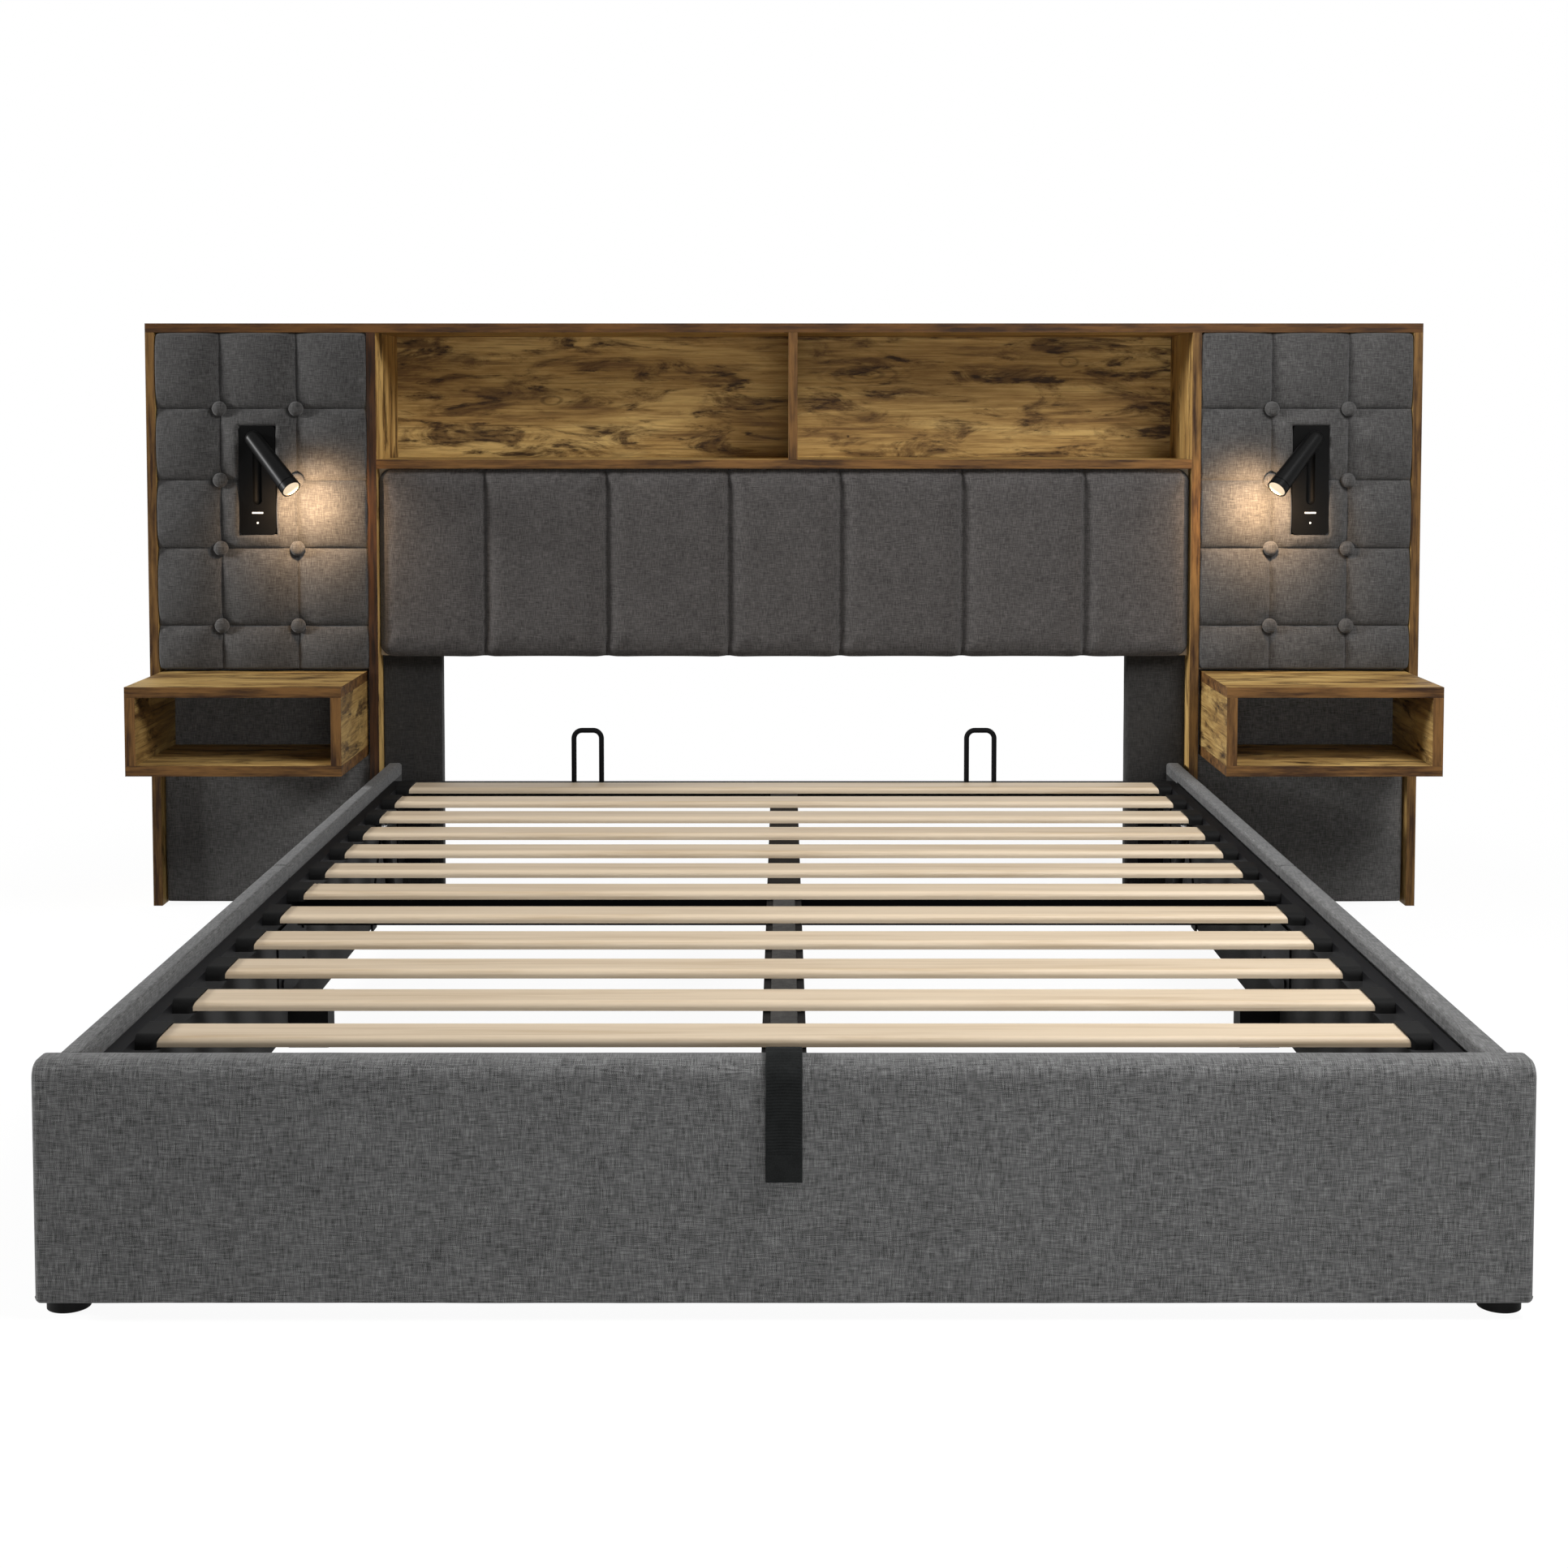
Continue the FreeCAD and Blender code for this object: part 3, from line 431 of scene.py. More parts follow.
def wood(name, grain, bands, seed, knots=(), deep=1.0, band=BAND, face_tone=1.0, band_grain=None):
    """Rustic board. grain is its axis, bands the axes whose faces show the edge banding."""
    s = Shader(name, roughness=0.55)
    parts = s.split(s.place())
    order = grain_first(parts, grain)
    kinds = ("broad", "streak", "smudge", "fleck", "line")
    broad, streak, smudge, fleck, line = [grain_noise(s, order, kind, seed) for kind in kinds]
    patch = s.weighed(fleck, 0.42, smudge, 0.58)
    tone = s.weighed(streak, 0.45, broad, 0.55)
    face = s.ramp(tone, (0.37, BROWN), (0.48, GOLD), (0.60, PALE))
    layers = (
        (smudge, 0.45, 0.62, 0.85 * deep, STAIN),
        (line, 0.54, 0.7, 0.6, BROWN),
        (patch, 0.53, 0.62, 0.9 * deep, DARK),
        (line, 0.66, 0.76, 0.75, DARK),
    )
    for mask, start, end, weight, stain in layers:
        face = s.mix(s.math("MULTIPLY", s.spread(mask, start, end), weight), face, stain)
    for centre, size, strength in knots:
        rings = knot_rings(s, parts[0], parts[2], smudge, centre, size)
        face = s.mix(s.math("MULTIPLY", rings, strength), face, DARK)
    face = s.mix(1.0, face, face_tone, "MULTIPLY")
    edge_order = grain_first(parts, band_grain or grain)
    cloud, fibre = [grain_noise(s, edge_order, kind, seed) for kind in ("cloud", "fibre")]
    edging = s.ramp(s.weighed(fibre, 0.5, cloud, 0.5), (0.4, band[0]), (0.58, band[1]))
    facing = dict(zip("XYZ", s.facing()))
    edge = facing[bands[0]]
    for axis in bands[1:]:
        edge = s.math("MAXIMUM", edge, facing[axis])
    s.colour(s.mix(edge, face, edging))
    s.put(s.bsdf.inputs["Roughness"], s.math("MULTIPLY_ADD", streak, 0.3, 0.42))
    soft = s.add("ShaderNodeBevel", {"Radius": BOARD_EDGE}, samples=4).outputs["Normal"]
    s.bump(s.math("MULTIPLY_ADD", line, 0.6, streak), 0.3, 0.0006, soft)
    s.set(Specular_IOR_Level=0.15)
    return s.material


def birch(name, light, dark, grain, seed):
    """Pale straight-grained wood."""
    s = Shader(name, roughness=0.55)
    parts = s.split(s.place())
    order = grain_first(parts, grain)
    broad = s.noise(s.scaled(order, (2.0, 45.0, 30.0), seed), 4.0, 0.55, 0.6)
    fine = s.noise(s.scaled(order, (7.0, 420.0, 420.0), seed + 5.0), 3.0, 0.6)
    tone = s.weighed(fine, 0.4, broad, 0.6)
    s.colour(s.ramp(tone, (0.32, dark), (0.52, light), (0.7, [c * 1.06 for c in light])))
    s.put(s.bsdf.inputs["Roughness"], s.math("MULTIPLY_ADD", fine, 0.2, 0.42))
    s.bump(fine, 0.2, 0.0003)
    return s.material


def coated(name, colour, roughness, grain_size, strength, metallic=0.0, specular=0.5):
    """A paint, plastic or metal skin with a fine grain and uneven gloss."""
    s = Shader(name, roughness, metallic)
    place = s.split(s.place())
    grain = s.noise(s.scaled(place, (1 / grain_size,) * 3, 2.0), 3.0, 0.6)
    worn = s.noise(s.scaled(place, (9.0, 9.0, 9.0), 5.0), 4.0, 0.6)
    s.colour(s.mix(s.spread(worn, 0.35, 0.7), colour, [c * 1.35 for c in colour]))
    s.put(s.bsdf.inputs["Roughness"], s.math("MULTIPLY_ADD", worn, 0.16, roughness - 0.08))
    s.bump(grain, strength, grain_size * 0.4)
    s.set(Specular_IOR_Level=specular)
    return s.material


YARN = 0.0011
WEBBING_TONES = ((0.003, 0.0034, 0.0034), (0.011, 0.012, 0.012))
FELT_TONES = ((0.025, 0.0238, 0.0225), (0.054, 0.0515, 0.049))


def webbing(name):
    """Dark ribbed webbing with yarns along its length."""
    s = Shader(name, roughness=0.75)
    place = s.split(s.place())
    fine = s.noise(s.scaled(place, (900.0, 500.0, 500.0), 4.0), 2.0)
    broad = s.noise(s.scaled(place, (60.0, 60.0, 60.0), 8.0), 3.0)
    tone = s.weighed(broad, 0.4, fine, 0.6)
    s.colour(s.ramp(tone, (0.35, WEBBING_TONES[0]), (0.65, WEBBING_TONES[1])))
    yarn = s.math("SINE", s.math("MULTIPLY", place[0], 2 * math.pi / YARN))
    s.bump(s.math("MULTIPLY_ADD", yarn, 0.4, fine), 0.3, 0.0003)
    s.set(Specular_IOR_Level=0.09)
    return s.material


def felt(name):
    """Matted grey fibre."""
    s = Shader(name, roughness=1.0)
    place = s.split(s.place())
    fuzz = s.noise(s.scaled(place, (700.0, 700.0, 700.0), 1.0), 4.0, 0.7)
    tuft = s.noise(s.scaled(place, (90.0, 90.0, 90.0), 6.0), 3.0)
    tone = s.weighed(fuzz, 0.5, tuft, 0.5)
    s.colour(s.ramp(tone, (0.35, FELT_TONES[0]), (0.65, FELT_TONES[1])))
    s.bump(fuzz, 0.6, 0.0006)
    s.set(Sheen_Weight=0.03, Specular_IOR_Level=0.05)
    return s.material


def glowing(name, colour, emission, strength):
    """A frosted lit cover."""
    s = Shader(name, roughness=0.35)
    place = s.split(s.place())
    frost = s.noise(s.scaled(place, (450.0, 450.0, 450.0), 3.0), 2.0)
    s.colour(s.mix(frost, colour, [c * 0.8 for c in colour]))
    s.bump(frost, 0.2, 0.0003)
    s.set(Emission_Color=rgba(emission), Emission_Strength=strength)
    return s.material


headboard_linen = linen("headboard_linen", (0.0225, 0.0208, 0.0202), (0.117, 0.1085, 0.105), 2.0)
# The wing pads' linen is a slightly darker copy of the headboard linen, as painted shade.
wing_linen_painted_shade = linen("wing_linen_painted_shade", (0.0205, 0.0199, 0.0196), (0.106, 0.103, 0.101), 9.0)
# The lower panels' linen is a much lighter copy of the wing linen, as painted light lifting their
# shade under the nightstands.
panel_linen_painted_light = linen("panel_linen_painted_light", (0.035, 0.0341, 0.0334), (0.18, 0.175, 0.1715), 17.0)
leg_linen = linen("leg_linen", (0.009, 0.0087, 0.0083), (0.042, 0.04, 0.0385), 6.0)
bed_linen = linen("bed_linen", (0.024, 0.024, 0.024), (0.196, 0.196, 0.195), 14.0, black_inside=True)
birch_slat = birch("birch_slat", (0.575, 0.465, 0.335), (0.425, 0.315, 0.197), "X", 3.0)
plywood = birch("plywood", (0.34, 0.25, 0.15), (0.22, 0.15, 0.08), "Z", 8.0)
black_steel = coated("black_steel", (0.004, 0.004, 0.0045), 0.6, 0.0009, 0.25, specular=0.05)
black_plastic = coated("black_plastic", (0.006, 0.006, 0.006), 0.6, 0.0014, 0.15, specular=0.05)
lamp_black = coated("lamp_black", (0.003, 0.003, 0.003), 0.5, 0.0007, 0.1, specular=0.04)
head_black = coated("head_black", (0.002, 0.002, 0.002), 0.36, 0.0006, 0.02, specular=0.1)
bright_steel = coated("bright_steel", (0.56, 0.56, 0.55), 0.33, 0.0008, 0.15, 1.0)
strut_chrome = coated("strut_chrome", (0.75, 0.75, 0.76), 0.14, 0.002, 0.04, 1.0)
strap_webbing = webbing("strap_webbing")
grey_felt = felt("grey_felt")
lens_glow = glowing("lens_glow", (0.35, 0.29, 0.21), (1.0, 0.80, 0.56), 0.72)
switch_glow = glowing("switch_glow", (0.5, 0.5, 0.5), (1.0, 0.97, 0.92), 0.85)

# The bookcase back's knots: centre in X and Z, half size with its rings, strength
BACK_KNOTS = (
    ((0.135, 0.944), (0.016, 0.014, 6.0), 0.85),
    ((0.17, 1.075), (0.12, 0.032, 26.0), 0.42),
    ((0.60, 1.10), (0.03, 0.016, 9.0), 0.6),
    ((-0.49, 1.02), (0.05, 0.022, 12.0), 0.45),
)
OUTER_POST = {"deep": 0.7, "band": GOLDEN_BAND}
# The left inner post's faces are painted lighter, as painted light, and its front edge band darker,
# as painted shade; the right one has neither.
INNER_LEFT_PAINTED_LIGHT = {"band": PAINTED_SHADE_BAND, "face_tone": 1.25}
# The nightstand sides' faces are painted darker than the tops, as painted shade.
NIGHT_SIDES_PAINTED_SHADE = {"face_tone": 0.75, "band_grain": "Z"}
# Each board's node, material, grain, banded faces, seed and other settings
BOARDS = (
    ("headboard_top_board", "top_board", "X", "Y", 1.0, {"deep": 0.7, "band": TOP_BAND}),
    ("headboard_outer_post_left", "outer_post_left", "Z", "Y", 4.0, OUTER_POST),
    ("headboard_outer_post_right", "outer_post_right", "Z", "Y", 9.0, OUTER_POST),
    ("headboard_inner_post_left", "inner_post_left", "Z", "Y", 14.0, INNER_LEFT_PAINTED_LIGHT),
    ("headboard_inner_post_right", "inner_post_right", "Z", "Y", 19.0, {"band": GOLDEN_BAND}),
    ("bookcase_shelf", "shelf", "X", "Y", 24.0, {}),
    ("bookcase_divider", "divider", "Z", "Y", 29.0, {}),
    ("bookcase_back", "back", "X", "Z", 34.0, {"knots": BACK_KNOTS}),
    ("nightstand_top_left", "night_top_left", "X", "XY", 39.0, {"deep": 0.85, "face_tone": 0.93}),
    ("nightstand_top_right", "night_top_right", "X", "XY", 44.0, {"deep": 0.85, "face_tone": 0.97}),
    ("nightstand_bottom_left", "night_bottom_left", "X", "XY", 49.0, {}),
    ("nightstand_bottom_right", "night_bottom_right", "X", "XY", 54.0, {}),
    ("nightstand_sides_left", "night_sides_left", "Y", "Y", 59.0, NIGHT_SIDES_PAINTED_SHADE),
    ("nightstand_sides_right", "night_sides_right", "Y", "Y", 64.0, NIGHT_SIDES_PAINTED_SHADE),
)
board_looks = {
    node: wood(f"wood_{name}", grain, bands, seed, **settings)
    for node, name, grain, bands, seed, settings in BOARDS
}
slot_looks = {
    "plywood": plywood,
    "birch_slat": birch_slat,
    "headboard_linen": headboard_linen,
    "bed_linen": bed_linen,
    "webbing": strap_webbing,
    "felt": grey_felt,
    "black_steel": black_steel,
    "black_plastic": black_plastic,
    "lamp_black": lamp_black,
    "lamp_lens": lens_glow,
    "lamp_light": switch_glow,
    "bright_steel": bright_steel,
    "strut_chrome": strut_chrome,
}
node_looks = {**board_looks, "lamp_head_left": head_black, "lamp_head_right": head_black}
for part in frame["record"]["subparts"]:
    look = node_looks.get(part["node"]) or slot_looks[part["material_slot"]]
    materials = cad_nodes[part["node"]].data.materials
    materials.clear()
    materials.append(look)


# Shared shapes

RIM_SHARES = (0.03, 0.1, 0.2, 0.33, 0.5, 0.72, 1.0)
WALL_SHARES = (0.35, 0.7, 1.0)
FACES_AXIS = 0.9


def new_object(name, points, faces, look):
    mesh = bpy.data.meshes.new(name)
    mesh.from_pydata([tuple(p) for p in points], [], faces)
    mesh.update()
    mesh.shade_smooth()
    obj = bpy.data.objects.new(name, mesh)
    scene.collection.objects.link(obj)
    mesh.materials.append(look)
    return obj


def grid_lines(low, high, step, extra=()):
    """Lines about a step apart that also pass through the extra places."""
    stops = sorted({low, high, *extra})
    found = []
    for start, end in zip(stops, stops[1:]):
        count = max(1, round((end - start) / step))
        found += [start + (end - start) * index / count for index in range(count)]
    return np.array(found + [high])


def rim_lines(low, high, roll):
    """Closer lines where a pad's edge rolls over."""
    turn = [roll * share for share in RIM_SHARES]
    return [low + part for part in turn] + [high - part for part in turn]


def beside(seams, gaps):
    """Places to either side of each seam."""
    return [seam + side * gap for seam in seams for side in (-1, 1) for gap in gaps]


def on_lines(places, lines):
    """Whether each place is on one of the lines."""
    return np.isin(np.round(places, 6), np.round(lines, 6))


def pad_object(name, across, up, front, back, look):
    """A closed pad: a front over grid lines, walls straight back from its rim and a flat back.

    Returns the object and the number of points in its front.
    """
    wide, high = len(across), len(up)
    points = [p for column in front for p in column]
    faces = [
        (i * high + j, (i + 1) * high + j, (i + 1) * high + j + 1, i * high + j + 1)
        for i in range(wide - 1)
        for j in range(high - 1)
    ]
    rim = [i * high for i in range(wide)]
    rim += [(wide - 1) * high + j for j in range(1, high)]
    rim += [i * high + high - 1 for i in range(wide - 2, -1, -1)]
    rim += list(range(high - 2, 0, -1))
    ring = rim
    for share in WALL_SHARES:
        start = len(points)
        for index in rim:
            x, y, z = points[index]
            points.append((x, y + (back - y) * share, z))
        new = list(range(start, len(points)))
        for k in range(len(rim)):
            after = (k + 1) % len(rim)
            faces.append((ring[after], ring[k], new[k], new[after]))
        ring = new
    faces.append(tuple(ring))
    obj = new_object(name, points, faces, look)
    return obj, wide * high


def rounded_corner(x, z, half_x, half_z, radius):
    """Moves points of a rectangle's grid so that its corners are round."""
    dx = np.maximum(np.abs(x) - (half_x - radius), 0) / radius
    dz = np.maximum(np.abs(z) - (half_z - radius), 0) / radius
    both = (dx > 0) & (dz > 0)
    nx = np.where(both, dx * np.sqrt(1 - dz**2 / 2), dx)
    nz = np.where(both, dz * np.sqrt(1 - dx**2 / 2), dz)
    x = np.sign(x) * np.where(dx > 0, half_x - radius + radius * nx, np.abs(x))
    z = np.sign(z) * np.where(dz > 0, half_z - radius + radius * nz, np.abs(z))
    return x, z


def cell_profile(places, seams, low, high, roll, crown, rim):
    """How full the pad is: 0 at a seam, 1 midway.

    crown is the domed share of it, rim how far out the dome runs at the pad's edges.
    """
    stops = [low, *seams, high]
    full = np.ones_like(places)
    for start, end in zip(stops, stops[1:]):
        middle = (start + end) / 2
        away = np.abs(places - middle) / ((end - start) / 2)
        if start == low:
            away = np.where(places < middle, rim * away, away)
        if end == high:
            away = np.where(places > middle, rim * away, away)
        to_seam = np.full_like(places, roll)
        if start != low:
            to_seam = np.minimum(to_seam, places - start)
        if end != high:
            to_seam = np.minimum(to_seam, end - places)
        turned = np.sqrt(1 - (1 - np.clip(to_seam / roll, 0, 1)) ** 2)
        value = (1 - crown) * turned + crown * (1 - np.minimum(away, 1) ** 2)
        full = np.where((places >= start) & (places <= end), value, full)
    return full


def roll_depth(distance, roll):
    """How far the surface has turned back this near to the pad's rim."""
    short = np.clip(1 - distance / roll, 0, 1)
    return roll * (1 - np.sqrt(1 - short**2))


def uneven(x, z, scale, seed):
    """Smooth irregularity between about -1 and 1 over arrays of places."""
    flat = [noise.noise(Vector((a / scale, b / scale, seed))) for a, b in zip(x.ravel(), z.ravel())]
    return np.array(flat).reshape(x.shape)


def held_points(held, count, obj):
    """The numbers of the front's held points and rim, and of all points behind them."""
    held[[0, -1], :] = True
    held[:, [0, -1]] = True
    return list(np.flatnonzero(held)) + list(range(count, len(obj.data.vertices)))


def puff(obj, held, cap):
    """Settles the mesh as cloth under pressure. No point moves further than the cap."""
    group = obj.vertex_groups.new(name="held")
    group.add([int(i) for i in held], 1.0, "REPLACE")
    cloth = obj.modifiers.new("Cloth", "CLOTH")
    for key, value in CLOTH_SETTINGS.items():
        setattr(cloth.settings, key, value)
    cloth.settings.effector_weights.gravity = 0
    cloth.collision_settings.use_collision = False
    cloth.point_cache.frame_start = 1
    cloth.point_cache.frame_end = CLOTH_FRAMES
    before = np.array([v.co for v in obj.data.vertices])
    for step in range(1, CLOTH_FRAMES + 1):
        scene.frame_set(step)
    evaluated = obj.evaluated_get(bpy.context.evaluated_depsgraph_get())
    after = np.array([v.co for v in evaluated.data.vertices])
    move = after - before
    length = np.linalg.norm(move, axis=1, keepdims=True)
    move *= np.minimum(1, cap / np.maximum(length, 1e-9))
    obj.modifiers.remove(cloth)
    obj.vertex_groups.remove(group)
    obj.data.vertices.foreach_set("co", (before + move).ravel())
    obj.data.update()
    scene.frame_set(1)


def subdivided(obj):
    step = obj.modifiers.new("Subdivision", "SUBSURF")
    step.levels = 1
    step.render_levels = 1


def wrapped_board(name, low, high, look, slot, radius, step, swell, seed):
    """A board wrapped in cloth: rounded edges, and faces that swell a little."""
    low, high = np.array(low), np.array(high)
    turn = radius * np.array(WRAP_TURN)
    lines = [
        np.concatenate([a + turn, grid_lines(a + radius, b - radius, step)[1:-1], b - turn[::-1]])
        for a, b in zip(low, high)
    ]
    counts = [len(row) for row in lines]
    index_of, points, faces = {}, [], []

    def vertex(*where):
        if where not in index_of:
            index_of[where] = len(points)
            points.append([lines[axis][where[axis]] for axis in range(3)])
        return index_of[where]

    for axis in range(3):
        first, second = [a for a in range(3) if a != axis]
        for end in (0, counts[axis] - 1):
            for i in range(counts[first] - 1):
                for j in range(counts[second] - 1):
                    corners = []
                    for di, dj in ((0, 0), (1, 0), (1, 1), (0, 1)):
                        where = [0, 0, 0]
                        where[axis], where[first], where[second] = end, i + di, j + dj
                        corners.append(vertex(*where))
                    turned = (end == 0) == (axis == 1)
                    faces.append(tuple(corners) if turned else tuple(reversed(corners)))
    p = np.array(points)
    inner = np.clip(p, low + radius, high - radius)
    out = p - inner
    out /= np.linalg.norm(out, axis=1, keepdims=True)
    middle, half = (low + high) / 2, (high - low) / 2
    share = np.clip(np.abs(p - middle) / half, 0, 1)
    dome = np.ones(len(p))
    for axis in range(3):
        faces_axis = np.abs(out[:, axis]) > FACES_AXIS
        dome *= np.where(faces_axis, 1.0, 1 - share[:, axis] ** WRAP_DOME)
    coarse, fine = Vector((seed, 0, 0)), Vector((0, seed, 0))
    rough = np.array([noise.noise(Vector(q) * ROUGH_COARSE + coarse) for q in p])
    rough += WRAP_FINE * np.array([noise.noise(Vector(q) * ROUGH_FINE + fine) for q in p])
    fullness = dome * (WRAP_SWELL + WRAP_SWELL_VARIES * rough)
    p = inner + out * (radius - swell + swell * fullness)[:, None]
    return new_object(name, p, faces, look)


# Centre pad: seven sewn channels


def centre_pad():
    low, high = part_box("centre_pad")
    half_x, half_z = (high.x - low.x) / 2, (high.z - low.z) / 2
    middle_z = (low.z + high.z) / 2
    seams = sorted([-s for s in CENTRE_SEAMS] + list(CENTRE_SEAMS))
    extra_x = seams + beside(seams, CENTRE_BESIDE) + rim_lines(-half_x, half_x, CENTRE_ROLL)
    across = grid_lines(-half_x, half_x, CENTRE_STEP, extra_x)
    up = grid_lines(-half_z, half_z, CENTRE_STEP, rim_lines(-half_z, half_z, CENTRE_ROLL))
    x, z = np.meshgrid(across, up, indexing="ij")
    full = cell_profile(x, seams, -half_x, half_x, CENTRE_SEAM_ROLL, CENTRE_CROWN, CENTRE_RIM)
    past_x = np.maximum(np.abs(x) - half_x + CENTRE_ROLL, 0)
    past_z = np.maximum(np.abs(z) - half_z + CENTRE_ROLL, 0)
    corner = np.minimum(np.hypot(past_x, past_z), CENTRE_ROLL)
    to_rim = np.minimum(half_x - np.abs(x), half_z - np.abs(z))
    to_rim = np.minimum(to_rim, CENTRE_ROLL - corner)
    depth = CENTRE_SEAM_DEPTH * (1 - full) + roll_depth(to_rim, CENTRE_ROLL)
    depth += CENTRE_UNEVEN * (1 + uneven(x, z, 0.09, 3.0))
    px, pz = rounded_corner(x, z, half_x, half_z, CENTRE_CORNER)
    y = np.minimum(low.y + CENTRE_SET_BACK + depth, high.y - CENTRE_THINNEST)
    front = np.stack([px, y, pz + middle_z], axis=-1).tolist()
    obj, count = pad_object("centre_pad_channels", across, up, front, high.y, headboard_linen)
    held = np.zeros(x.shape, bool)
    held[on_lines(across, seams), :] = True
    puff(obj, held_points(held, count, obj), CENTRE_PUFF)
    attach(obj, "bed_base")
    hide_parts("centre_pad")


# Wing pads: tufted cells with covered buttons


def wing_places():
    low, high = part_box("wing_pad_left")
    plate_low, plate_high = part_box("lamp_plate_left")
    middle = (plate_low.x + plate_high.x) / 2
    columns = [middle - TUFT_COLUMN_HALF, middle + TUFT_COLUMN_HALF]
    rows = [low.z + share * (high.z - low.z) for share in TUFT_ROW_SHARES]
    return low, high, columns, rows


def wing_pad():
    low, high, columns, rows = wing_places()
    plate_low, plate_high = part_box("lamp_plate_left")
    extra_x = columns + beside(columns, TUFT_BESIDE) + rim_lines(low.x, high.x, TUFT_ROLL)
    extra_z = rows + beside(rows, TUFT_BESIDE) + rim_lines(low.z, high.z, TUFT_ROLL)
    for gap in PLATE_BESIDE:
        extra_x += [plate_low.x + gap, plate_high.x - gap]
        extra_z += [plate_low.z + gap, plate_high.z - gap]
    across = grid_lines(low.x, high.x, TUFT_STEP, extra_x)
    up = grid_lines(low.z, high.z, TUFT_STEP, extra_z)
    x, z = np.meshgrid(across, up, indexing="ij")
    full = cell_profile(x, columns, low.x, high.x, TUFT_SEAM_ROLL, TUFT_CROWN, TUFT_RIM)
    full *= cell_profile(z, rows, low.z, high.z, TUFT_SEAM_ROLL, TUFT_CROWN, TUFT_RIM)
    half_x, half_z = (high.x - low.x) / 2, (high.z - low.z) / 2
    cx, cz = (low.x + high.x) / 2, (low.z + high.z) / 2
    to_rim = np.minimum(half_x - np.abs(x - cx), half_z - np.abs(z - cz))
    depth = TUFT_SEAM_DEPTH * (1 - full) + roll_depth(to_rim, TUFT_ROLL)
    for column in columns:
        for row in rows:
            away = np.hypot(x - column, z - row)
            depth += TUFT_BUTTON_PULL * np.exp(-((away / TUFT_BUTTON_REACH) ** 2))
            folds = 0.5 + 0.5 * np.cos(FOLDS * np.arctan2(z - row, x - column))
            depth -= FOLD_HEIGHT * folds * np.exp(-(((away - FOLD_AWAY) / FOLD_WIDTH) ** 2))
    depth += TUFT_UNEVEN * (1 + uneven(x, z, 0.07, 5.0))
    beyond = np.hypot(
        np.maximum(np.maximum(plate_low.x - x, x - plate_high.x), 0),
        np.maximum(np.maximum(plate_low.z - z, z - plate_high.z), 0),
    )
    depth -= PLATE_SWELL * np.exp(-((beyond / PLATE_SWELL_REACH) ** 2))
    depth += roll_depth(np.maximum(beyond - PLATE_GAP, 0), PLATE_ROLL)
    pocket = (x > plate_low.x) & (x < plate_high.x)
    pocket &= (z > plate_low.z) & (z < plate_high.z)
    y = np.minimum(low.y - TUFT_LEAD + depth, high.y - TUFT_THINNEST)
    y = np.where(pocket, high.y - POCKET_THICKNESS, y)
    px, pz = rounded_corner(x - cx, z - cz, half_x, half_z, TUFT_CORNER)
    front = np.stack([px + cx, y, pz + cz], axis=-1).tolist()
    left, count = pad_object("wing_pad_left_tufted", across, up, front, high.y, wing_linen_painted_shade)
    held = beyond <= 0
    held[on_lines(across, columns), :] = True
    held[:, on_lines(up, rows)] = True
    puff(left, held_points(held, count, left), TUFT_PUFF)
    mesh = left.data.copy()
    mesh.transform(Matrix.Scale(-1, 4, (1, 0, 0)))
    mesh.flip_normals()
    right = bpy.data.objects.new("wing_pad_right_tufted", mesh)
    scene.collection.objects.link(right)
    for obj, node in ((left, "wing_pad_left"), (right, "wing_pad_right")):
        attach(obj, "bed_base")
        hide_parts(node)


def add_button(points, faces, x, top, z):
    """Adds a button's rings, from its middle outward and back, and its flat back."""
    start, around, rings = len(points), BUTTON_AROUND, BUTTON_PROFILE[1:]
    points.append((x, top, z))
    for share, back in rings:
        for k in range(around):
            angle = 2 * math.pi * k / around
            gather = 1 + BUTTON_GATHER * math.cos(BUTTON_GATHERS * angle) * share
            radius = BUTTON_RADIUS * share * gather
            points.append((x + radius * math.cos(angle), top + back, z + radius * math.sin(angle)))
    for k in range(around):
        after = (k + 1) % around
        faces.append((start, start + 1 + k, start + 1 + after))
        for ring in range(len(rings) - 1):
            a = start + 1 + ring * around
            faces.append((a + k, a + around + k, a + around + after, a + after))
    last = start + 1 + (len(rings) - 1) * around
    faces.append(tuple(last + around - 1 - k for k in range(around)))


def wing_buttons():
    _, _, columns, rows = wing_places()
    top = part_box("wing_buttons")[0].y
    points, faces = [], []
    for side in (1, -1):
        for column in columns:
            for row in rows:
                add_button(points, faces, side * column, top, row)
    obj = new_object("wing_buttons_covered", points, faces, wing_linen_painted_shade)
    subdivided(obj)
    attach(obj, "bed_base")
    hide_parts("wing_buttons")


# Cloth-covered boards


def footboard_section(low, high):
    """The footboard's outline, as (y, z) points with the way that each faces."""
    corners = (
        ("front_low", low.y, low.z, 180, 270),
        ("back_low", high.y, low.z, 270, 360),
        ("back_top", high.y, high.z, 0, 90),
        ("front_top", low.y, high.z, 90, 180),
    )
    points, facing = [], []
    for name, y, z, start, end in corners:
        radius = FOOTBOARD_RADII[name]
        cy = y + radius if y == low.y else y - radius
        cz = z + radius if z == low.z else z - radius
        for angle in np.radians(np.linspace(start, end, FOOTBOARD_CORNER_POINTS)):
            out = np.array((math.cos(angle), math.sin(angle)))
            points.append(np.array((cy, cz)) + radius * out)
            facing.append(out)
    full_points, full_facing = [], []
    for k, point in enumerate(points):
        after = points[(k + 1) % len(points)]
        steps = max(1, round(float(np.linalg.norm(after - point)) / FOOTBOARD_STEP))
        for step in range(steps):
            full_points.append(point + (after - point) * step / steps)
            full_facing.append(facing[k])
    return np.array(full_points), np.array(full_facing)


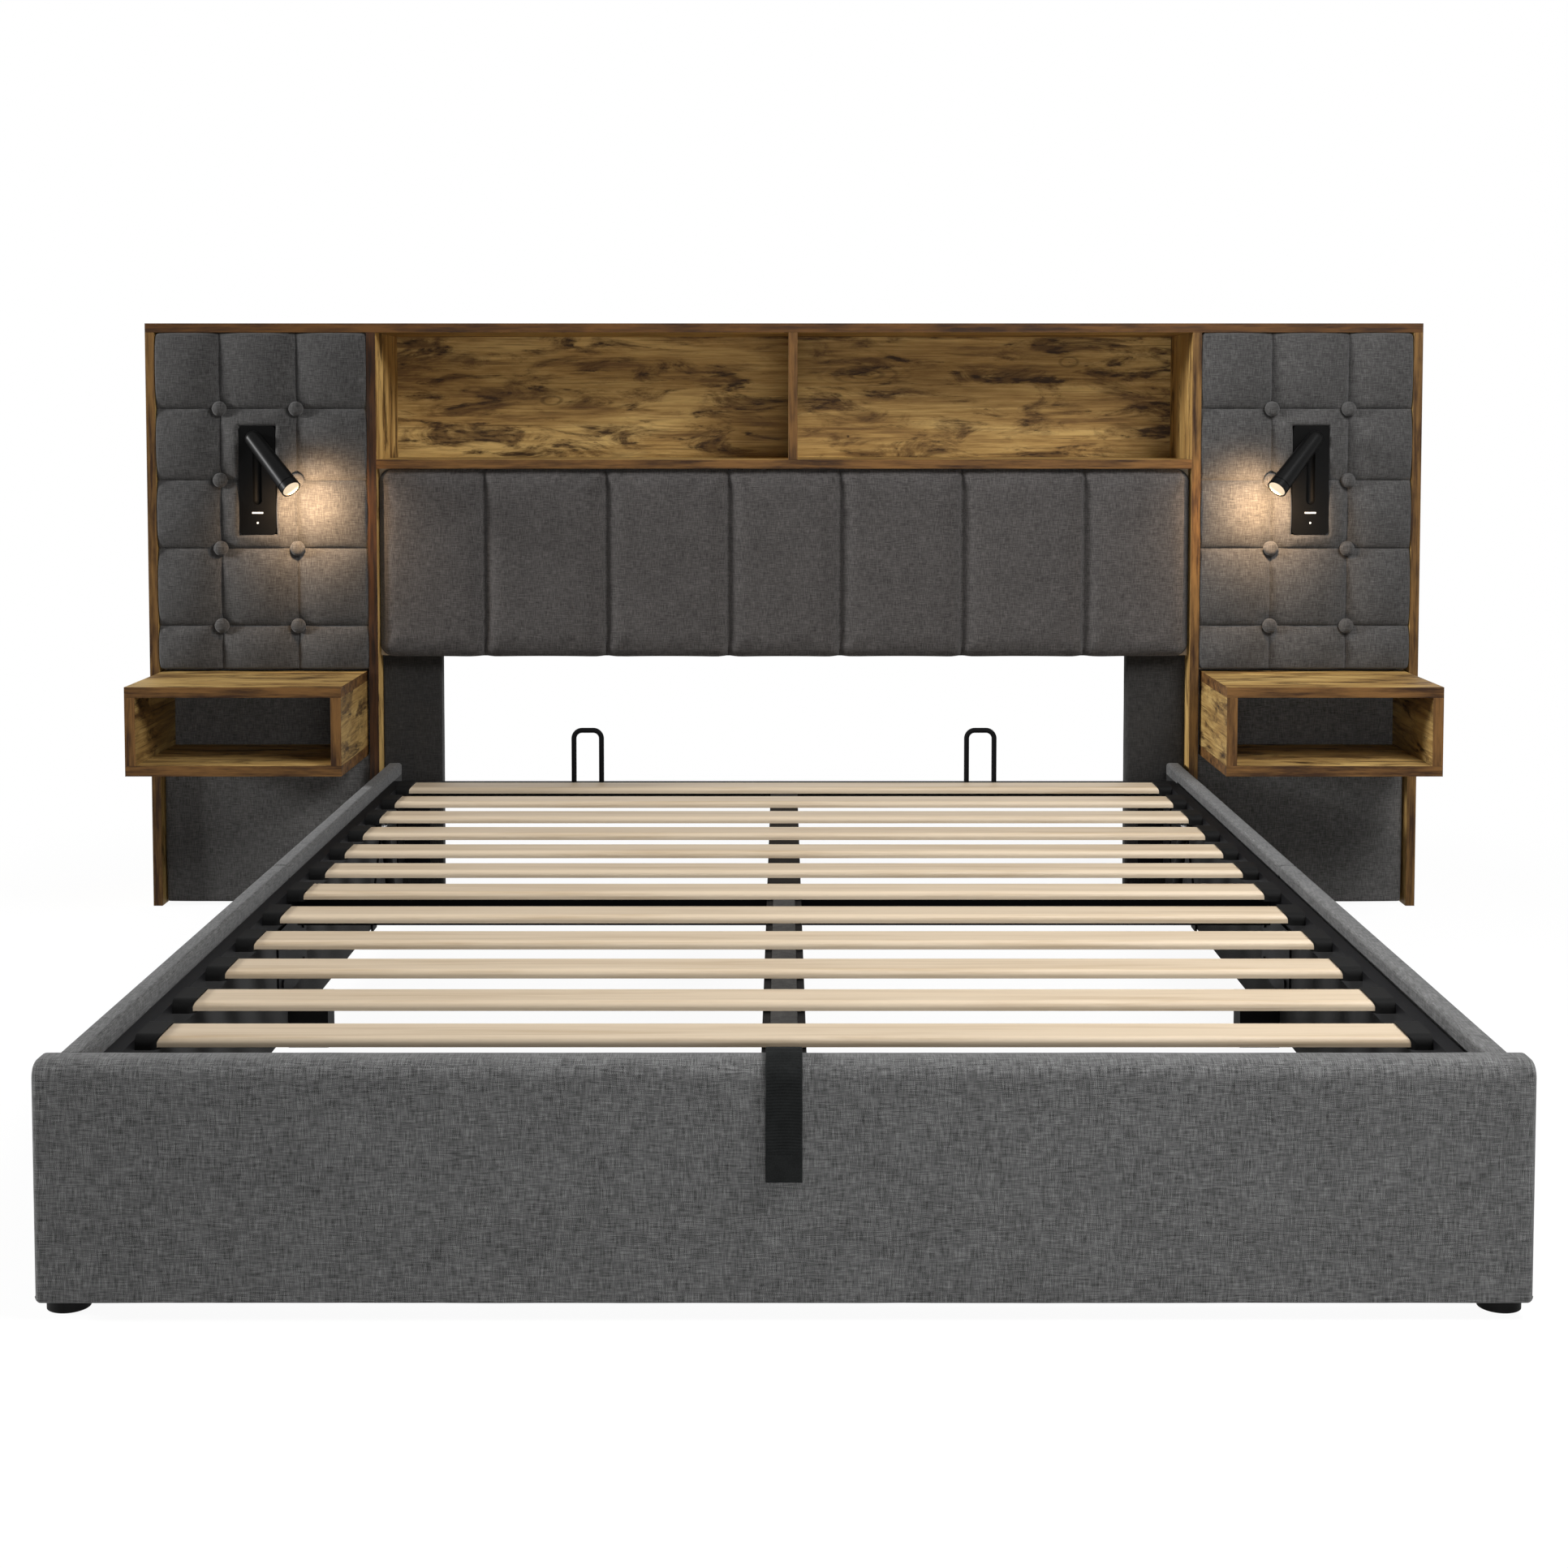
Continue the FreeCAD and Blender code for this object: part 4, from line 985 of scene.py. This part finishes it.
def footboard():
    low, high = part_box("footboard")
    section, facing = footboard_section(low, high)
    turn = FOOTBOARD_END * np.array(FOOTBOARD_TURN)
    flat = grid_lines(low.x + turn[-1], high.x - turn[-1], FOOTBOARD_STEP)[1:-1]
    across = np.concatenate([low.x + turn, flat, high.x - turn[::-1]])
    points, faces = [], []
    count = len(section)
    for x in across:
        near = min(x - low.x, high.x - x)
        short = max(0.0, FOOTBOARD_END - near)
        inset = FOOTBOARD_END - math.sqrt(FOOTBOARD_END**2 - short**2)
        for (y, z), (out_y, out_z) in zip(section, facing):
            place = Vector((x, y, z))
            rough = 0.5 + 0.5 * noise.noise(place * ROUGH_COARSE)
            rough += FOOTBOARD_FINE * noise.noise(place * ROUGH_FINE)
            back = inset + FOOTBOARD_ROUGH * min(max(rough, 0.0), 1.0)
            points.append((x, y - out_y * back, z - out_z * back))
    for i in range(len(across) - 1):
        for j in range(count):
            a, b = i * count + j, i * count + (j + 1) % count
            faces.append((a, b, b + count, a + count))
    last = (len(across) - 1) * count
    faces.append(tuple(range(count - 1, -1, -1)))
    faces.append(tuple(range(last, last + count)))
    obj = new_object("footboard_covered", points, faces, bed_linen)
    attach(obj, "bed_base")
    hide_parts("footboard")


def side_rails():
    for side in ("left", "right"):
        for part in ("front", "rear"):
            node = f"side_rail_{part}_{side}"
            low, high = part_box(node)
            name = f"{node}_covered"
            obj = wrapped_board(name, low, high, bed_linen, "bed_linen", **RAIL_WRAP)
            subdivided(obj)
            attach(obj, "bed_base")
            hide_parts(node)


def halves(node):
    """The boxes of a node's left and right solids."""
    points = np.array([v.co for v in cad_nodes[node].data.vertices])
    for name, chosen in (("left", points[:, 0] < 0), ("right", points[:, 0] > 0)):
        yield name, points[chosen].min(0), points[chosen].max(0)


def covered_pairs():
    looks = {
        "headboard_legs": (leg_linen, LEG_WRAP),
        "wing_lower_panels": (panel_linen_painted_light, PANEL_WRAP),
    }
    for node, (look, wrap) in looks.items():
        pieces = [
            wrapped_board(f"{node}_{side}_covered", low, high, look, "headboard_linen", **wrap)
            for side, low, high in halves(node)
        ]
        for piece in pieces:
            subdivided(piece)
            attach(piece, "bed_base")
            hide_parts(node)


def felt_strip():
    low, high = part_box("centre_bar_felt")
    obj = wrapped_board("centre_bar_felt_strip", low, high, grey_felt, "felt", **FELT_WRAP)
    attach(obj, "lift_frame")
    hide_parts("centre_bar_felt")


# Pull strap


def strap_route():
    """The webbing's middle line from the hanger over the footboard, as close (y, z) points."""
    low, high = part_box("pull_strap")
    hanger_low, hanger_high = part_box("strap_hanger")
    rod = (hanger_low.y + hanger_high.y) / 2
    behind = (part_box("footboard")[1].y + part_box("frame_side_bars")[0].y) / 2
    over, ahead = high.z - STRAP_OFF, low.y + STRAP_OFF
    run = STRAP_RUN_HEIGHT
    places = ((rod, run), (behind, run), (behind, over), (ahead, over), (ahead, low.z))
    corners = [np.array(place) for place in places]
    route, start = [], corners[0]
    for before, corner, after, radius in zip(corners, corners[1:], corners[2:], STRAP_BENDS):
        back, onward = before - corner, after - corner
        back /= np.linalg.norm(back)
        onward /= np.linalg.norm(onward)
        centre = corner + (back + onward) * radius
        route += line_points(start, corner + back * radius)
        for share in np.linspace(0, 1, max(4, int(radius * STRAP_BEND_POINTS)))[1:-1]:
            angle = share * math.pi / 2
            place = centre - onward * radius * math.cos(angle) - back * radius * math.sin(angle)
            route.append(place)
        start = corner + onward * radius
    return np.array(route + line_points(start, corners[-1]) + [corners[-1]])


def line_points(start, end):
    count = max(1, int(np.linalg.norm(end - start) / STRAP_STEP))
    return [start + (end - start) * k / count for k in range(count)]


def pull_strap():
    route = strap_route()
    steps = np.linalg.norm(np.diff(route, axis=0), axis=1)
    travel = np.concatenate([[0], np.cumsum(steps)])
    length = travel[-1]
    to_end = length - travel
    direction = np.gradient(route, axis=0)
    direction /= np.linalg.norm(direction, axis=1, keepdims=True)
    outward = np.stack([-direction[:, 1], direction[:, 0]], axis=1)
    ribbed = np.clip((to_end - STRAP_HEM_LENGTH) / STRAP_RIB_FADES[0], 0, 1)
    ribbed *= np.clip((STRAP_RIB_TOP - to_end) / STRAP_RIB_FADES[1], 0, 1)
    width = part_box("pull_strap")[1].x
    shares = STRAP_SHARES
    points, faces = [], []
    for face in (1, -1):
        for k in range(len(route)):
            for share in shares:
                turn = 2 * math.pi * (travel[k] + STRAP_RIB_BOW * (1 - share**2)) / STRAP_RIB_PITCH
                half = STRAP_HALF + STRAP_RIB * ribbed[k] * (0.5 + 0.5 * math.cos(turn))
                if abs(share) == 1.0:
                    half *= STRAP_EDGE
                elif to_end[k] < STRAP_HEM_LENGTH:
                    half += STRAP_HEM
                y, z = route[k] + outward[k] * face * half
                points.append((share * width, y, z))
    row, total = len(shares), len(shares) * len(route)
    for k in range(len(route) - 1):
        for j in range(row - 1):
            a = k * row + j
            faces.append((a, a + 1, a + row + 1, a + row))
            faces.append((total + a + row, total + a + row + 1, total + a + 1, total + a))
        for j in (0, row - 1):
            a = k * row + j
            quad = (a, a + row, total + a + row, total + a)
            faces.append(quad if j == 0 else tuple(reversed(quad)))
    for k, turned in ((0, False), (len(route) - 1, True)):
        for j in range(row - 1):
            a = k * row + j
            quad = (a, total + a, total + a + 1, a + 1)
            faces.append(tuple(reversed(quad)) if turned else quad)
    obj = new_object("pull_strap_webbing", points, faces, strap_webbing)
    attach(obj, "pull_strap")
    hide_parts("pull_strap")


centre_pad()
wing_pad()
wing_buttons()
footboard()
side_rails()
covered_pairs()
felt_strip()
pull_strap()


# Floor, lights and camera


def joined(tree, kind, *sources):
    """A new node with the sources linked to its first inputs."""
    node = tree.nodes.new(kind)
    for source, socket in zip(sources, node.inputs):
        tree.links.new(source, socket)
    return node


def background_rays(tree):
    """1 for the rays that show the background: seen straight, reflected or through glass."""
    paths = joined(tree, "ShaderNodeLightPath").outputs
    shown = paths["Is Camera Ray"]
    for kind in ("Is Glossy Ray", "Is Transmission Ray"):
        either = joined(tree, "ShaderNodeMath", shown, paths[kind])
        either.operation = "MAXIMUM"
        shown = either.outputs[0]
    return shown


def either_look(tree, factor, first, second):
    """The first node's look where the factor is 0 and the second's where it is 1."""
    return joined(tree, "ShaderNodeMixShader", factor, first.outputs[0], second.outputs[0])


def floor_look():
    """Pale floor that keeps a light shadow near the bed and runs out to white."""
    material = bpy.data.materials.new("floor_pale")
    material.use_nodes = True
    tree = material.node_tree
    tree.nodes.clear()
    matte = joined(tree, "ShaderNodeBsdfDiffuse")
    matte.inputs["Color"].default_value = rgba(FLOOR_MATTE)
    shown = joined(tree, "ShaderNodeBsdfDiffuse")
    shown.inputs["Color"].default_value = rgba(FLOOR_SHOWN)
    lit = joined(tree, "ShaderNodeEmission")
    lit.inputs["Strength"].default_value = FLOOR_LIT
    near = joined(tree, "ShaderNodeAddShader", shown.outputs[0], lit.outputs[0])
    white = joined(tree, "ShaderNodeEmission")
    place = joined(tree, "ShaderNodeTexCoord").outputs["Object"]
    length = joined(tree, "ShaderNodeVectorMath", place)
    length.operation = "LENGTH"
    far = joined(tree, "ShaderNodeMapRange", length.outputs["Value"])
    far.interpolation_type = "SMOOTHSTEP"
    far.inputs["From Min"].default_value, far.inputs["From Max"].default_value = FLOOR_FADE
    seen = either_look(tree, far.outputs["Result"], near, white)
    choice = either_look(tree, background_rays(tree), matte, seen)
    joined(tree, "ShaderNodeOutputMaterial", choice.outputs[0])
    return material


def floor():
    signs = ((-1, -1), (1, -1), (1, 1), (-1, 1))
    corners = [(FLOOR_SIZE * a, FLOOR_SIZE * b, 0) for a, b in signs]
    mesh = bpy.data.meshes.new("floor")
    mesh.from_pydata(corners, [], [(0, 1, 2, 3)])
    obj = bpy.data.objects.new("floor", mesh)
    mesh.materials.append(floor_look())
    scene.collection.objects.link(obj)
    obj.location.z = cad_box[0].z - FLOOR_GAP


def world():
    """White where the background shows, and an even soft light elsewhere."""
    scene.world = bpy.data.worlds.new("studio")
    scene.world.use_nodes = True
    tree = scene.world.node_tree
    tree.nodes.clear()
    soft = joined(tree, "ShaderNodeBackground")
    soft.inputs["Strength"].default_value = WORLD_SOFT
    white = joined(tree, "ShaderNodeBackground")
    white.inputs["Color"].default_value = (1, 1, 1, 1)
    choice = either_look(tree, background_rays(tree), soft, white)
    joined(tree, "ShaderNodeOutputWorld", choice.outputs[0])


def softbox(name, place, target, size, power):
    light = bpy.data.lights.new(name, "AREA")
    light.shape = "RECTANGLE"
    light.size, light.size_y = size
    light.energy = power
    obj = bpy.data.objects.new(name, light)
    scene.collection.objects.link(obj)
    obj.location = place
    obj.rotation_euler = (Vector(target) - Vector(place)).to_track_quat("-Z", "Y").to_euler()


def lamp_glow(side):
    """The warm light that a reading lamp throws on the pad beside it."""
    low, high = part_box(f"lamp_lens_{side}")
    centre = (low + high) / 2
    inward = Vector((1 if side == "left" else -1, 1, 1))
    light = bpy.data.lights.new(f"lamp_glow_{side}", "SPOT")
    light.color = GLOW_COLOUR
    light.energy = GLOW_POWER
    light.spot_size = math.radians(GLOW_SPREAD)
    light.spot_blend = 1.0
    light.shadow_soft_size = GLOW_SIZE
    obj = bpy.data.objects.new(f"lamp_glow_{side}", light)
    scene.collection.objects.link(obj)
    obj.location = centre + inward * Vector(GLOW_PLACE)
    obj.rotation_euler = (inward * Vector(GLOW_AIM)).to_track_quat("-Z", "Y").to_euler()
    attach(obj, f"lamp_head_{side}")


def camera():
    data = bpy.data.cameras.new("camera")
    data.sensor_width = SENSOR
    data.lens = SENSOR * FOCAL_PIXELS / PHOTO_SIZE
    data.shift_y = (MIDDLE_ROW - PHOTO_SIZE / 2) / PHOTO_SIZE
    obj = bpy.data.objects.new("camera", data)
    scene.collection.objects.link(obj)
    obj.location = CAMERA_PLACE
    obj.rotation_euler = (math.radians(90 - CAMERA_PITCH), 0, 0)
    scene.camera = obj


floor()
world()
for settings in SOFTBOXES:
    softbox(*settings)
for side in ("left", "right"):
    lamp_glow(side)
camera()
scene.view_settings.view_transform = "Standard"
